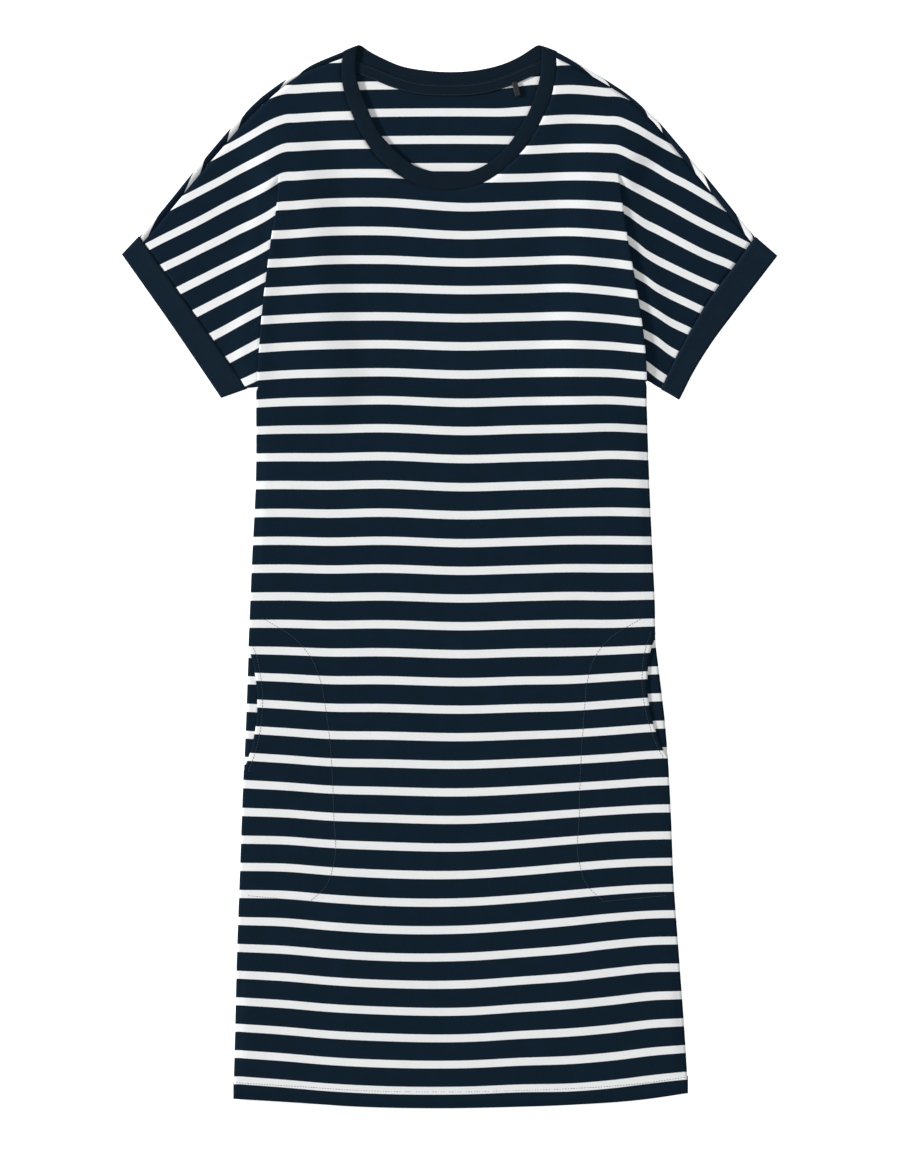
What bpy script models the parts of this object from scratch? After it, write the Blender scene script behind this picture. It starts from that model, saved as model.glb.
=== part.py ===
"""A short-sleeved striped jersey nightshirt, laid flat with its front up.

Millimetres in the tables, metres in the meshes. +X is the right of the garment
as it is looked down on, +Y runs to the neck, +Z is up, and the back rests on z = 0.
The origin is on that plane, in the middle of the garment's outline.
"""
import math

import bmesh
import bpy
import numpy as np

MM = 0.001

# Cloth
WALL = 1.0              # jersey, drawn a little thicker than it is
BAND_WALL = 1.4         # neckband and cuffs, two jersey layers
SEAM_GAP = 0.3          # between two pieces that lie on each other
NECK_GAP = 0.96         # middle of a panel's edge from the neckband's seam
CUFF_GAP = 0.6          # and from the cuff's and the shoulder's
FOLD_RADIUS = 0.7       # middle of the cloth round a pressed fold
ARC_STEPS = 3           # faces round a half turn

# Heights of the middle of the cloth
BACK_Z = 0.5
FRONT_Z = 3.4           # front of the body
NECK_Z = 4.2            # front of the body at the neckline
SLEEVE_Z = 2.4          # front of the sleeve
EDGE_Z = BACK_Z + WALL + SEAM_GAP
POCKET_Z = BACK_Z + WALL + SEAM_GAP
MOUTH_Z = POCKET_Z + WALL + SEAM_GAP
TUCK_DROP = 4.0 * FOLD_RADIUS           # body to sleeve through the underarm fold
TUCK_BACK_Z = BACK_Z + TUCK_DROP
TUCK_SLEEVE_Z = TUCK_BACK_Z + WALL + SEAM_GAP
TUCK_FRONT_Z = TUCK_SLEEVE_Z + TUCK_DROP
HEM_BACK_Z = BACK_Z + 2.0 * FOLD_RADIUS
HEM_FRONT_Z = HEM_BACK_Z + WALL + SEAM_GAP + 2.0 * FOLD_RADIUS
HEM_DEPTH = 17.0

# Body sides: height up the garment, left edge, right edge
BODY_SIDES = (
    (-560.0, -227.0, 251.0),
    (-487.0, -225.0, 247.0),
    (-403.0, -223.0, 241.0),
    (-319.0, -220.0, 235.0),
    (-235.0, -217.0, 231.5),
    (-151.0, -213.5, 226.0),
    (-108.0, -212.0, 221.0),
    (-67.0, -210.5, 215.0),
    (17.0, -207.0, 212.5),
    (101.0, -203.0, 209.0),
    (185.0, -202.5, 206.5),
)
PANEL_TRIM = {"front": 0.5, "back": 1.4}    # cloth's middle in from its outline
# Hem edge: distance across, height
HEM_EDGE = (
    (-227.0, -547.5),
    (-161.0, -551.5),
    (-101.0, -555.5),
    (-13.0, -557.4),
    (67.0, -556.0),
    (134.0, -553.5),
    (201.0, -548.5),
    (250.5, -541.5),
)
# Shoulder seam on the front, from the neck to the cuff: across, height
SHOULDER_LEFT = (
    (-113.5, 544.5), (-158.0, 526.0), (-198.0, 493.5), (-249.5, 435.5), (-304.5, 367.5), (-319.5, 350.0),
)
SHOULDER_RIGHT = (
    (112.0, 544.5), (146.5, 526.5), (195.0, 495.0), (245.0, 438.5), (305.0, 366.0), (318.5, 349.5),
)
SHOULDER_ROLL = 6.3     # how far the back comes round the shoulder to the front
SHOULDER_SPLIT = 0.42   # share of the seam from the neck to above the underarm
ROLL_TURN = 35.0        # over which the roll turns to run beside the neckband
# Edge of the underarm fold, from where it begins down to the side seam: across, height
TUCK_LEFT = (
    (-184.0, 418.0), (-186.5, 366.0), (-191.5, 330.0), (-198.0, 271.5), (-201.5, 212.5), (-201.8, 199.0),
)
TUCK_RIGHT = (
    (176.0, 428.0), (185.5, 361.0), (197.0, 295.5), (203.0, 255.0), (206.2, 220.0), (206.4, 204.5),
)
TUCK_ANGLE = 13.3       # degrees between the fold's edge and its hidden inner line
TUCK_BACK_INSET = 1.2   # back's fold in from the front's
TUCK_TURN = 12.0        # fall over which the fold turns fully under
TUCK_TURN_POWER = 0.7
# How far the underarm edge of each sleeve arches up, and over what lengths
UNDERARM_RISE = {-1: 0.8, 1: 6.5}
RISE_FROM_CUFF = 16.0
RISE_FROM_FOLD = 20.0
RISE_POWER = 3.0        # how soon it fades up the sleeve
# Cuff seam and the cuff's outer edge, top to bottom: across, height
CUFF_SEAM_LEFT = ((-325.5, 356.5), (-212.6, 198.0))
CUFF_EDGE_LEFT = ((-343.0, 338.0), (-291.5, 263.0), (-239.5, 188.5))
CUFF_SEAM_RIGHT = (
    (320.5, 356.0), (301.5, 329.5), (284.0, 306.5), (268.0, 283.5), (254.5, 260.5), (240.5, 235.0), (222.3, 197.5),
)
CUFF_EDGE_RIGHT = ((343.0, 336.5), (303.5, 283.0), (274.0, 243.0), (257.0, 216.0), (241.0, 186.5))
CUFF_START = 0.036      # share of the cuff seam above the panel's corner
CUFF_HOLLOW = 0.5       # between the cuff's layers
# Front neckband: across and height of its seam, across and height of its free edge
NECK_FRONT = (
    (-111.6, 549.0, -97.4, 554.6),
    (-113.8, 528.0, -98.5, 529.0),
    (-110.8, 509.8, -95.4, 514.5),
    (-102.4, 485.6, -87.2, 494.5),
    (-88.7, 457.8, -75.8, 468.5),
    (-73.0, 437.3, -61.5, 451.5),
    (-40.4, 414.2, -34.0, 430.0),
    (-0.5, 405.8, -0.5, 423.7),
    (32.0, 412.0, 27.0, 427.0),
    (65.6, 435.6, 53.5, 444.0),
    (84.5, 457.8, 72.0, 468.0),
    (98.2, 483.5, 84.0, 489.5),
    (106.2, 502.4, 91.0, 509.0),
    (111.2, 524.5, 95.5, 528.5),
    (112.3, 549.0, 97.0, 554.0),
)
# Back neckband, the same columns
NECK_BACK = (
    (-111.6, 549.0, -93.5, 555.6),
    (-99.2, 541.0, -86.5, 552.9),
    (-78.6, 532.9, -70.9, 544.4),
    (-55.1, 523.4, -50.9, 536.0),
    (-32.0, 517.5, -28.9, 531.8),
    (-0.5, 515.6, -0.5, 529.7),
    (32.0, 517.7, 29.9, 531.8),
    (60.4, 525.5, 56.2, 538.1),
    (82.4, 535.0, 74.5, 546.5),
    (100.3, 541.5, 86.0, 554.0),
    (112.3, 549.0, 92.0, 555.8),
)
NECK_START = {"front": 0.036, "back": 0.06}     # share of the band's half above the panel
# Pocket mouths: height of each end, how far the front is scooped out
MOUTH_LEFT = (-76.0, -201.0, 11.5)
MOUTH_RIGHT = (-63.0, -188.0, 14.8)
MOUTH_POWER = 0.75      # fullness of the scoop
# Pocket bag's inner edge: height, distance in from the side
POCKET_TOP = -42.0
POCKET_BOTTOM = -343.0
POCKET_INNER = (
    (-343.0, 72.0), (-328.0, 88.0), (-300.0, 98.0), (-250.0, 96.0), (-191.0, 91.0),
    (-136.0, 82.5), (-108.0, 76.0), (-80.0, 62.0), (-62.0, 44.0), (-42.0, 10.0),
)
POCKET_TRIM = 0.5
# Tape inside the back neck, and the small tab on it
TAPE_WIDTH = 11.0
TAPE_START = 0.6        # its upper edge below the neckband's seam
TAPE_ENDS = (0.09, 0.91)    # share of the back neckline
LOOP_MIDDLE = (70.0, 511.7)
LOOP_HALF_WIDTH = 2.9
LOOP_LENGTH = 14.7
LOOP_TILT = 14.0        # degrees, its foot to the right

# Distances over which the cloth settles from one height to another
NECK_EASE = 40.0
SIDE_EASE = 16.0
HEM_EASE = 60.0
MOUTH_LIFT_TOP = 70.0       # raised edge of the front from here above the pocket bag's top
MOUTH_LIFT_BOTTOM = 90.0    # down to here above its bottom
MOUTH_EASE = 25.0
TUCK_MARGIN = 20.0          # level cloth round the hidden folds
TUCK_EASE = 48.0
TUCK_START_EASE = 14.0
SLEEVE_EASE = 28.0          # sleeve, past the fold's edge
FOLD_EASE = 30.0
NECK_ROLL_SWAY = 0.3        # sideways share of the neckband's roll over a neck point

# Columns and rows of the pieces
SLEEVE_COLS = 6
BODY_COLS = 8           # half the body
COL_POWER = 1.25        # closer columns at the side
SHOULDER_ROWS = 3       # between the shoulder seam and the top of the underarm fold
TUCK_ROWS = (6.0, 12.0, 36.0, 66.0, 98.0, 130.0, 162.0, 192.0)
TUCK_SHARE = 0.25       # share of the sleeve's rows above the fold
BODY_ROWS = {
    "front": (
        0.03, 0.08, 0.14, 0.21, 0.28, 0.33, 0.355, 0.38, 0.41, 0.44, 0.47, 0.50, 0.525,
        0.57, 0.65, 0.74, 0.83, 0.91, 0.965, 1.0,
    ),
    "back": (0.03, 0.08, 0.14, 0.22, 0.31, 0.40, 0.49, 0.58, 0.67, 0.76, 0.85, 0.92, 0.97, 1.0),
}
FLAT_STEP = 0.7         # between the fold's columns above the fold
NECK_FRONT_ROWS = 34
NECK_BACK_ROWS = 26
NECK_COLS = 3
CUFF_ROWS = (0.0, 0.5, 1.0)
CUFF_COLS = 8
POCKET_ROWS = (
    -42.0, -52.0, -64.0, -78.0, -94.0, -110.0, -128.0, -146.0, -164.0, -182.0,
    -205.0, -235.0, -270.0, -300.0, -322.0, -336.0, -343.0,
)
POCKET_COLS = 4
TAPE_ROWS = 20
LOOP_ROWS = 4

# Linear colours
NAVY = (0.008, 0.016, 0.028)
CUFF_NAVY = (0.010, 0.021, 0.037)
LABEL_GREY = (0.03, 0.032, 0.035)


def ease(t):
    """Rise smoothly from 0 to 1."""
    t = min(max(t, 0.0), 1.0)
    return t * t * (3.0 - 2.0 * t)


def unit(vector):
    """The vector at length 1."""
    return vector / np.linalg.norm(vector)


def smooth(knots, values):
    """A function that runs smoothly through values at the rising knots."""
    knots = np.array(knots, float)
    values = np.array(values, float)
    slopes = np.gradient(values, knots, axis=0)

    def at(t):
        t = min(max(t, knots[0]), knots[-1])
        k = min(int(np.searchsorted(knots, t, side="right")) - 1, len(knots) - 2)
        span = knots[k + 1] - knots[k]
        s = (t - knots[k]) / span
        rise = s * s * (3.0 - 2.0 * s)
        lead = span * s * (1.0 - s) ** 2 * slopes[k]
        trail = span * s * s * (s - 1.0) * slopes[k + 1]
        return values[k] * (1.0 - rise) + values[k + 1] * rise + lead + trail

    return at


def path(points):
    """A function of 0 to 1 along a smooth line through the points."""
    points = np.array(points, float)
    steps = np.linalg.norm(np.diff(points, axis=0), axis=1)
    knots = np.concatenate([[0.0], np.cumsum(steps)]) / steps.sum()
    return smooth(knots, points)


def column(rows, index):
    """One column of a table."""
    return [row[index] for row in rows]


SIDE_X = {
    -1: smooth(column(BODY_SIDES, 0), column(BODY_SIDES, 1)),
    1: smooth(column(BODY_SIDES, 0), column(BODY_SIDES, 2)),
}
HEM_Y = smooth(column(HEM_EDGE, 0), column(HEM_EDGE, 1))
HEM_CORNER = {-1: HEM_EDGE[0][1], 1: HEM_EDGE[-1][1]}
SHOULDER = {-1: path(SHOULDER_LEFT), 1: path(SHOULDER_RIGHT)}
TUCK = {-1: path(TUCK_LEFT), 1: path(TUCK_RIGHT)}
CUFF_SEAM = {-1: path(CUFF_SEAM_LEFT), 1: path(CUFF_SEAM_RIGHT)}
CUFF_EDGE = {-1: path(CUFF_EDGE_LEFT), 1: path(CUFF_EDGE_RIGHT)}
MOUTH = {-1: MOUTH_LEFT, 1: MOUTH_RIGHT}
NECK_MIDDLE = 7         # row of NECK_FRONT at the centre front
BACK_MIDDLE = 5         # row of NECK_BACK at the centre back


def neckline_half(rows, middle, side):
    """The neckband's seam from the neck point on one side to the middle."""
    seam = np.array([row[:2] for row in rows])
    steps = np.linalg.norm(np.diff(seam, axis=0), axis=1)
    share = steps[:middle].sum() / steps.sum()
    along = path(seam)
    if side < 0:
        return lambda u: along(u * share)
    return lambda u: along(1.0 - u * (1.0 - share))


NECKLINE = {
    (layer, side): neckline_half(rows, middle, side)
    for layer, rows, middle in (("front", NECK_FRONT, NECK_MIDDLE), ("back", NECK_BACK, BACK_MIDDLE))
    for side in (-1, 1)
}
NECK_SAMPLES = np.array([NECKLINE["front", side](t) for side in (-1, 1) for t in np.linspace(0, 1, 24)])


def tuck_line(side, t):
    """Edge and hidden inner line of the underarm fold, at the share t down it."""
    pivot = TUCK[side](0.0)
    edge = TUCK[side](t)
    turn = -side * math.radians(TUCK_ANGLE)
    arm = edge - pivot
    inner = pivot + np.array((
        arm[0] * math.cos(turn) - arm[1] * math.sin(turn),
        arm[0] * math.sin(turn) + arm[1] * math.cos(turn),
    ))
    return edge, inner


TUCK_WEDGE = {
    side: np.array([TUCK[side](0.0), *tuck_line(side, 1.0)]) for side in (-1, 1)
}


def wedge_distance(point, side):
    """How far a point lies outside the triangle that hides the fold."""
    corners = TUCK_WEDGE[side]
    centre = corners.mean(axis=0)
    nearest = 1e9
    inside = True
    for k in range(3):
        a, b = corners[k], corners[(k + 1) % 3]
        run = b - a
        t = min(max(float(np.dot(point - a, run) / np.dot(run, run)), 0.0), 1.0)
        nearest = min(nearest, float(np.linalg.norm(point - a - t * run)))
        normal = np.array((-run[1], run[0]))
        inside = inside and np.dot(point - a, normal) * np.dot(centre - a, normal) >= 0.0
    return 0.0 if inside else nearest


def body_z(point, layer):
    """Height of the front or back body at a point of the plan."""
    if layer == "back":
        return BACK_Z
    side = -1 if point[0] < 0.0 else 1
    neck = float(np.min(np.linalg.norm(NECK_SAMPLES - point, axis=1)))
    z = FRONT_Z + (NECK_Z - FRONT_Z) * (1.0 - ease(neck / NECK_EASE))
    rim = EDGE_Z
    over_pocket = ease((POCKET_TOP + MOUTH_LIFT_TOP - point[1]) / MOUTH_EASE)
    over_pocket *= ease((point[1] - POCKET_BOTTOM + MOUTH_LIFT_BOTTOM) / MOUTH_EASE)
    rim += (MOUTH_Z - rim) * over_pocket
    hem = 1.0 - ease((point[1] - HEM_CORNER[side]) / HEM_EASE)
    rim += (HEM_FRONT_Z - rim) * hem
    z += (HEM_FRONT_Z - z) * hem
    if point[1] < TUCK[side](1.0)[1] + 1.0:
        inset = abs(SIDE_X[side](point[1]) - point[0])
        z += (rim - z) * (1.0 - ease(inset / SIDE_EASE))
    tuck = 1.0 - ease((wedge_distance(point, side) - TUCK_MARGIN) / TUCK_EASE)
    return z + (TUCK_FRONT_Z - z) * tuck


def sleeve_z(point, side, layer):
    """Height of the front or back sleeve at a point of the plan."""
    pivot = TUCK[side](0.0)
    down = ease((pivot[1] - point[1]) / TUCK_START_EASE)
    tuck = down * (1.0 - ease(wedge_distance(point, side) / SLEEVE_EASE))
    if layer == "back":
        return BACK_Z + (TUCK_BACK_Z - BACK_Z) * tuck
    return SLEEVE_Z + (TUCK_SLEEVE_Z - SLEEVE_Z) * tuck


def tuck_section(sweep, run):
    """Outward and downward steps through a fold: a turn under, a run back, a turn out."""
    points = []
    for k in range(ARC_STEPS + 1):
        a = sweep * k / ARC_STEPS
        points.append((FOLD_RADIUS * math.sin(a), FOLD_RADIUS * (1.0 - math.cos(a))))
    out, drop = points[-1]
    points.append((out + 0.5 * run * math.cos(sweep), drop + 0.5 * run * math.sin(sweep)))
    out += run * math.cos(sweep)
    drop += run * math.sin(sweep)
    for k in range(ARC_STEPS + 1):
        a = sweep * (1.0 - k / ARC_STEPS)
        points.append((
            out + FOLD_RADIUS * (math.sin(sweep) - math.sin(a)),
            drop + FOLD_RADIUS * (math.cos(a) - math.cos(sweep)),
        ))
    return points


def neck_end(side, layer, u):
    """Panel's edge at the neckband."""
    along = NECKLINE[layer, side]
    start = NECK_START[layer]
    t = start + (1.0 - start) * u
    point = along(t)
    step = unit(along(min(t + 0.01, 1.0)) - along(t - 0.01))
    away = np.array((step[1], -step[0])) * -side if u < 1.0 else np.array((0.0, -1.0))
    return point + away * NECK_GAP


def cuff_end(side, u):
    """Panel's edge at the cuff."""
    seam = CUFF_SEAM[side]
    t = CUFF_START + (1.0 - CUFF_START) * u
    step = unit(seam(min(t + 0.01, 1.0)) - seam(max(t - 0.01, 0.0)))
    return seam(t) + np.array((step[1], -step[0])) * side * CUFF_GAP


def half_row(side, layer, u, rise, fall):
    """One row of half a panel, from the cuff to the neckline.

    rise is the share of the way up from the fold's beginning to the shoulder seam,
    fall the distance down the fold, and u the share of the way down cuff and neckline.
    """
    neck = neck_end(side, layer, u)
    cuff = cuff_end(side, u)
    flip = 1.0 if layer == "back" else -1.0
    pivot, _ = tuck_line(side, 0.0)
    length = np.linalg.norm(tuck_line(side, 1.0)[0] - pivot)
    edge, inner = tuck_line(side, fall / length)
    top = SHOULDER[side](SHOULDER_SPLIT)
    if layer == "back":
        edge = edge - np.array((side * TUCK_BACK_INSET, 0.0))
    if rise > 0.0:
        edge = pivot + (top - pivot) * rise
    if fall < 1.0:
        away = unit(cuff - neck)
        section = [(FLAT_STEP * (k - ARC_STEPS - 1), 0.0) for k in range(2 * ARC_STEPS + 3)]
        start = edge
    else:
        away = unit(edge - inner)
        width = float(np.linalg.norm(edge - inner))
        sweep = math.pi * min(fall / TUCK_TURN, 1.0) ** TUCK_TURN_POWER
        run = max(width - 2.0 * FOLD_RADIUS, 0.0) if fall >= TUCK_TURN else 0.0
        section = tuck_section(sweep, run)
        start = edge - away * FOLD_RADIUS * math.sin(min(sweep, math.pi / 2.0))
    level = body_z(start, layer)
    fold = [(*(start + away * out), level + flip * drop) for out, drop in section]

    curve = SHOULDER[side]
    inner_start = np.array(fold[0][:2])
    body = []
    for k in range(BODY_COLS, 0, -1):
        s = (k / BODY_COLS) ** COL_POWER
        point = inner_start + (neck - inner_start) * s
        if rise > 0.0:
            chord = curve(SHOULDER_SPLIT) + (curve(0.0) - curve(SHOULDER_SPLIT)) * s
            point = point + (curve(SHOULDER_SPLIT * (1.0 - s)) - chord) * rise ** 2
        body.append((point[0], point[1], body_z(point, layer)))

    outer_start = np.array(fold[-1][:2])
    lift = fold[-1][2] - sleeve_z(outer_start, side, layer)
    sleeve = []
    for k in range(1, SLEEVE_COLS + 1):
        s = k / SLEEVE_COLS
        point = outer_start + (cuff - outer_start) * s
        if rise > 0.0:
            chord = curve(SHOULDER_SPLIT) + (curve(1.0) - curve(SHOULDER_SPLIT)) * s
            point = point + (curve(SHOULDER_SPLIT + (1.0 - SHOULDER_SPLIT) * s) - chord) * rise ** 2
        reach = float(np.linalg.norm(point - outer_start))
        arch = ease(float(np.linalg.norm(cuff - point)) / RISE_FROM_CUFF) * ease(reach / RISE_FROM_FOLD)
        point = point + np.array((0.0, UNDERARM_RISE[side] * arch * (fall / length) ** RISE_POWER))
        fade = 1.0 - ease(reach / FOLD_EASE)
        z = sleeve_z(point, side, layer) + lift * fade
        sleeve.append((point[0], point[1], z))
    return sleeve[::-1] + fold[::-1] + body[::-1]


def upper_rows(side, layer):
    """Rows of one sleeve and its half of the yoke, from the shoulder seam down."""
    rows = []
    for k in range(SHOULDER_ROWS):
        rise = 1.0 - k / SHOULDER_ROWS
        rows.append(half_row(side, layer, TUCK_SHARE * (1.0 - rise), rise, 0.0))
    rows.append(half_row(side, layer, TUCK_SHARE, 0.0, 0.0))
    length = float(np.linalg.norm(tuck_line(side, 1.0)[0] - tuck_line(side, 0.0)[0]))
    for fall in TUCK_ROWS + (length,):
        u = TUCK_SHARE + (1.0 - TUCK_SHARE) * fall / length
        rows.append(half_row(side, layer, u, 0.0, fall))
    return rows


def mouth_inset(side, y):
    """How far the front is scooped out at the pocket mouth."""
    top, bottom, depth = MOUTH[side]
    t = (top - y) / (top - bottom)
    return depth * math.sin(math.pi * t) ** MOUTH_POWER if 0.0 < t < 1.0 else 0.0


def body_rows(layer, left_top, right_top):
    """Rows of the body below the underarms, and the hem turned in at the bottom."""
    first = left_top + right_top[::-1][1:]
    count = len(first)
    middle = count // 2
    share = []
    for k in range(count):
        s = (min(k, count - 1 - k) / middle) ** COL_POWER * 0.5
        share.append(s if k <= middle else 1.0 - s)
    trim = PANEL_TRIM[layer]
    plan = []
    for f in BODY_ROWS[layer]:
        ends = {}
        for side, corner in ((-1, first[0]), (1, first[-1])):
            y = corner[1] + (HEM_CORNER[side] - corner[1]) * f
            x = SIDE_X[side](y) - side * trim
            if layer == "front":
                x -= side * mouth_inset(side, y)
            ends[side] = x
        row = []
        for k, top in enumerate(first):
            straight = first[0][0] + (first[-1][0] - first[0][0]) * share[k]
            x = ends[-1] + (ends[1] - ends[-1]) * share[k] + (top[0] - straight) * (1.0 - f)
            y = top[1] + (HEM_Y(x) + trim + FOLD_RADIUS - top[1]) * f
            row.append(np.array((x, y)))
        plan.append(row)
    rows = [[(*p, body_z(p, layer)) for p in row] for row in plan]
    flip = 1.0 if layer == "back" else -1.0
    last = rows[-1]
    for out, drop in tuck_section(math.pi, HEM_DEPTH)[1:ARC_STEPS + 3]:
        rows.append([(p[0], p[1] - out, p[2] + flip * drop) for p in last])
    return rows


def shoulder_roll(side, seam_row):
    """Rows of the back, from the seam on the front over the shoulder to its plane."""
    rows = []
    count = len(seam_row)
    cuff_way = unit(CUFF_SEAM[side](0.0) - CUFF_SEAM[side](0.1))
    neck_way = unit(NECKLINE["front", side](0.0) - NECKLINE["front", side](0.06))
    neck = np.array(seam_row[-1][:2])
    for step in range(ARC_STEPS + 2):
        row = []
        for k in range(count):
            seam = np.array(seam_row[k][:2])
            before = np.array(seam_row[max(k - 1, 0)][:2])
            after = np.array(seam_row[min(k + 1, count - 1)][:2])
            along = unit(after - before)
            outward = np.array((-along[1], along[0]))
            if outward[1] < 0.0:
                outward = -outward
            outward = unit(cuff_way + (outward - cuff_way) * min(k / SLEEVE_COLS, 1.0))
            near = min(float(np.linalg.norm(neck - seam)) / ROLL_TURN, 1.0)
            outward = unit(neck_way + (outward - neck_way) * near)
            front = seam_row[k][2]
            radius = 0.5 * (front - BACK_Z)
            crest = seam + outward * (SHOULDER_ROLL - radius - 0.5 * WALL)
            if step <= ARC_STEPS:
                a = math.pi * step / ARC_STEPS
                spot = crest + outward * radius * math.sin(a)
                z = BACK_Z + radius * (1.0 - math.cos(a))
            else:
                spot = seam + outward * CUFF_GAP
                z = front
            row.append((spot[0], spot[1], z))
        rows.append(row)
    return rows[::-1]


def new_material(name, colour, roughness=0.85):
    """A cloth material of one linear colour."""
    material = bpy.data.materials.new(name)
    material.use_nodes = True
    shader = material.node_tree.nodes["Principled BSDF"]
    shader.inputs["Base Color"].default_value = (*colour, 1.0)
    shader.inputs["Roughness"].default_value = roughness
    shader.inputs["Metallic"].default_value = 0.0
    return material


def cloth(name, grids, wall, colour, collection, closed=False):
    """Make one piece of cloth from grids of points that share their edges."""
    mesh = bpy.data.meshes.new(name)
    verts, faces = [], []
    for rows in grids:
        start = len(verts)
        width = len(rows[0])
        for row in rows:
            verts.extend(tuple(c * MM for c in point) for point in row)
        for i in range(len(rows) - 1):
            for k in range(width if closed else width - 1):
                n = (k + 1) % width
                a = start + i * width
                b = a + width
                faces.append((a + k, a + n, b + n, b + k))
    mesh.from_pydata(verts, [], faces)
    shape = bmesh.new()
    shape.from_mesh(mesh)
    bmesh.ops.remove_doubles(shape, verts=shape.verts, dist=0.00002)
    bmesh.ops.recalc_face_normals(shape, faces=shape.faces)
    shape.to_mesh(mesh)
    shape.free()
    mesh.materials.append(new_material(name + "_cloth", colour))
    piece = bpy.data.objects.new(name, mesh)
    collection.objects.link(piece)
    solid = piece.modifiers.new("wall", "SOLIDIFY")
    solid.thickness = wall * MM
    solid.offset = 0.0
    solid.use_even_offset = True
    solid.use_quality_normals = True
    return piece


def make_panel(layer, collection):
    """Front or back, cut in one with its half of each sleeve."""
    left = upper_rows(-1, layer)
    right = upper_rows(1, layer)
    grids = [left, right]
    body = BODY_COLS + 1
    lower = body_rows(layer, left[-1][-body:], right[-1][-body:])
    first = left[-1][-body:] + right[-1][-body:][::-1][1:]
    grids.append([first] + lower)
    if layer == "back":
        for side, rows in ((-1, left), (1, right)):
            seam_row = half_row(side, "front", 0.0, 1.0, 0.0)
            grids.append(shoulder_roll(side, seam_row) + [rows[0]])
    return cloth(layer + "_panel", grids, WALL, NAVY, collection)


def make_neckband(collection):
    """A ring round the neck, which rolls over to the back at each neck point."""
    seam_front = path([row[:2] for row in NECK_FRONT])
    edge_front = path([row[2:] for row in NECK_FRONT])
    seam_back = path([row[:2] for row in NECK_BACK])
    edge_back = path([row[2:] for row in NECK_BACK])
    back_z = 0.5 * BAND_WALL
    radius = 0.5 * (NECK_Z - back_z)
    rings = []

    def station(seam, edge, z, shift=(0.0, 0.0)):
        row = []
        for k in range(NECK_COLS + 1):
            point = seam + (edge - seam) * k / NECK_COLS + np.array(shift)
            row.append((point[0], point[1], z))
        rings.append(row)

    for k in range(NECK_FRONT_ROWS + 1):
        t = k / NECK_FRONT_ROWS
        station(seam_front(t), edge_front(t), NECK_Z)
    for k in range(1, ARC_STEPS):
        a = math.pi * k / ARC_STEPS
        lift = (NECK_ROLL_SWAY * radius * math.sin(a), radius * math.sin(a))
        blend = k / ARC_STEPS
        seam = seam_front(1.0) * (1.0 - blend) + seam_back(1.0) * blend
        edge = edge_front(1.0) * (1.0 - blend) + edge_back(1.0) * blend
        station(seam, edge, NECK_Z - radius * (1.0 - math.cos(a)), lift)
    for k in range(NECK_BACK_ROWS + 1):
        t = 1.0 - k / NECK_BACK_ROWS
        station(seam_back(t), edge_back(t), back_z)
    for k in range(1, ARC_STEPS):
        a = math.pi * k / ARC_STEPS
        lift = (-NECK_ROLL_SWAY * radius * math.sin(a), radius * math.sin(a))
        blend = k / ARC_STEPS
        seam = seam_back(0.0) * (1.0 - blend) + seam_front(0.0) * blend
        edge = edge_back(0.0) * (1.0 - blend) + edge_front(0.0) * blend
        station(seam, edge, back_z + radius * (1.0 - math.cos(a)), lift)
    columns = [[ring[k] for ring in rings] for k in range(NECK_COLS + 1)]
    return cloth("neckband", [columns], BAND_WALL, NAVY, collection, closed=True)


def make_cuff(name, side, collection):
    """A flattened tube of folded cloth on the end of a sleeve."""
    low = 0.5 * BAND_WALL
    high = low + BAND_WALL + CUFF_HOLLOW
    radius = 0.5 * (high - low)
    rows = []
    for t in CUFF_ROWS:
        top = CUFF_SEAM[side](0.0) * (1.0 - t) + CUFF_EDGE[side](0.0) * t
        bottom = CUFF_SEAM[side](1.0) * (1.0 - t) + CUFF_EDGE[side](1.0) * t
        reach = unit(bottom - top)
        inset = radius + 0.5 * BAND_WALL
        line = []
        for k in range(CUFF_COLS + 1):
            s = k / CUFF_COLS
            point = CUFF_SEAM[side](s) * (1.0 - t) + CUFF_EDGE[side](s) * t
            squeeze = inset * (1.0 - 2.0 * s)
            line.append(point + reach * squeeze)
        loop = [(p[0], p[1], high) for p in line]
        for k in range(1, ARC_STEPS):
            a = math.pi * k / ARC_STEPS
            spot = line[-1] + reach * radius * math.sin(a)
            loop.append((spot[0], spot[1], high - radius * (1.0 - math.cos(a))))
        loop += [(p[0], p[1], low) for p in line[::-1]]
        for k in range(1, ARC_STEPS):
            a = math.pi * k / ARC_STEPS
            spot = line[0] - reach * radius * math.sin(a)
            loop.append((spot[0], spot[1], low + radius * (1.0 - math.cos(a))))
        rows.append(loop)
    return cloth(name, [rows], BAND_WALL, CUFF_NAVY, collection, closed=True)


def make_pocket(name, side, collection):
    """The pocket's bag under the front, which shows in the mouth."""
    inner = smooth(column(POCKET_INNER, 0), column(POCKET_INNER, 1))
    rows = []
    for y in POCKET_ROWS:
        outer = SIDE_X[side](y) - side * POCKET_TRIM
        row = []
        for k in range(POCKET_COLS + 1):
            row.append((outer - side * inner(y) * k / POCKET_COLS, y, POCKET_Z))
        rows.append(row)
    return cloth(name, [rows], WALL, NAVY, collection)


def make_tape(collection):
    """The tape sewn inside the back below the neckband's seam."""
    first, last = TAPE_ENDS
    z = BACK_Z + WALL + SEAM_GAP
    seam = path([row[:2] for row in NECK_BACK])
    rows = []
    for k in range(TAPE_ROWS + 1):
        t = first + (last - first) * k / TAPE_ROWS
        step = unit(seam(t + 0.01) - seam(t - 0.01))
        down = np.array((step[1], -step[0]))
        rows.append([(*(seam(t) + down * reach), z) for reach in (TAPE_START, 0.5 * TAPE_WIDTH, TAPE_WIDTH)])
    return cloth("neck_tape", [rows], WALL, NAVY, collection)


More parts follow.
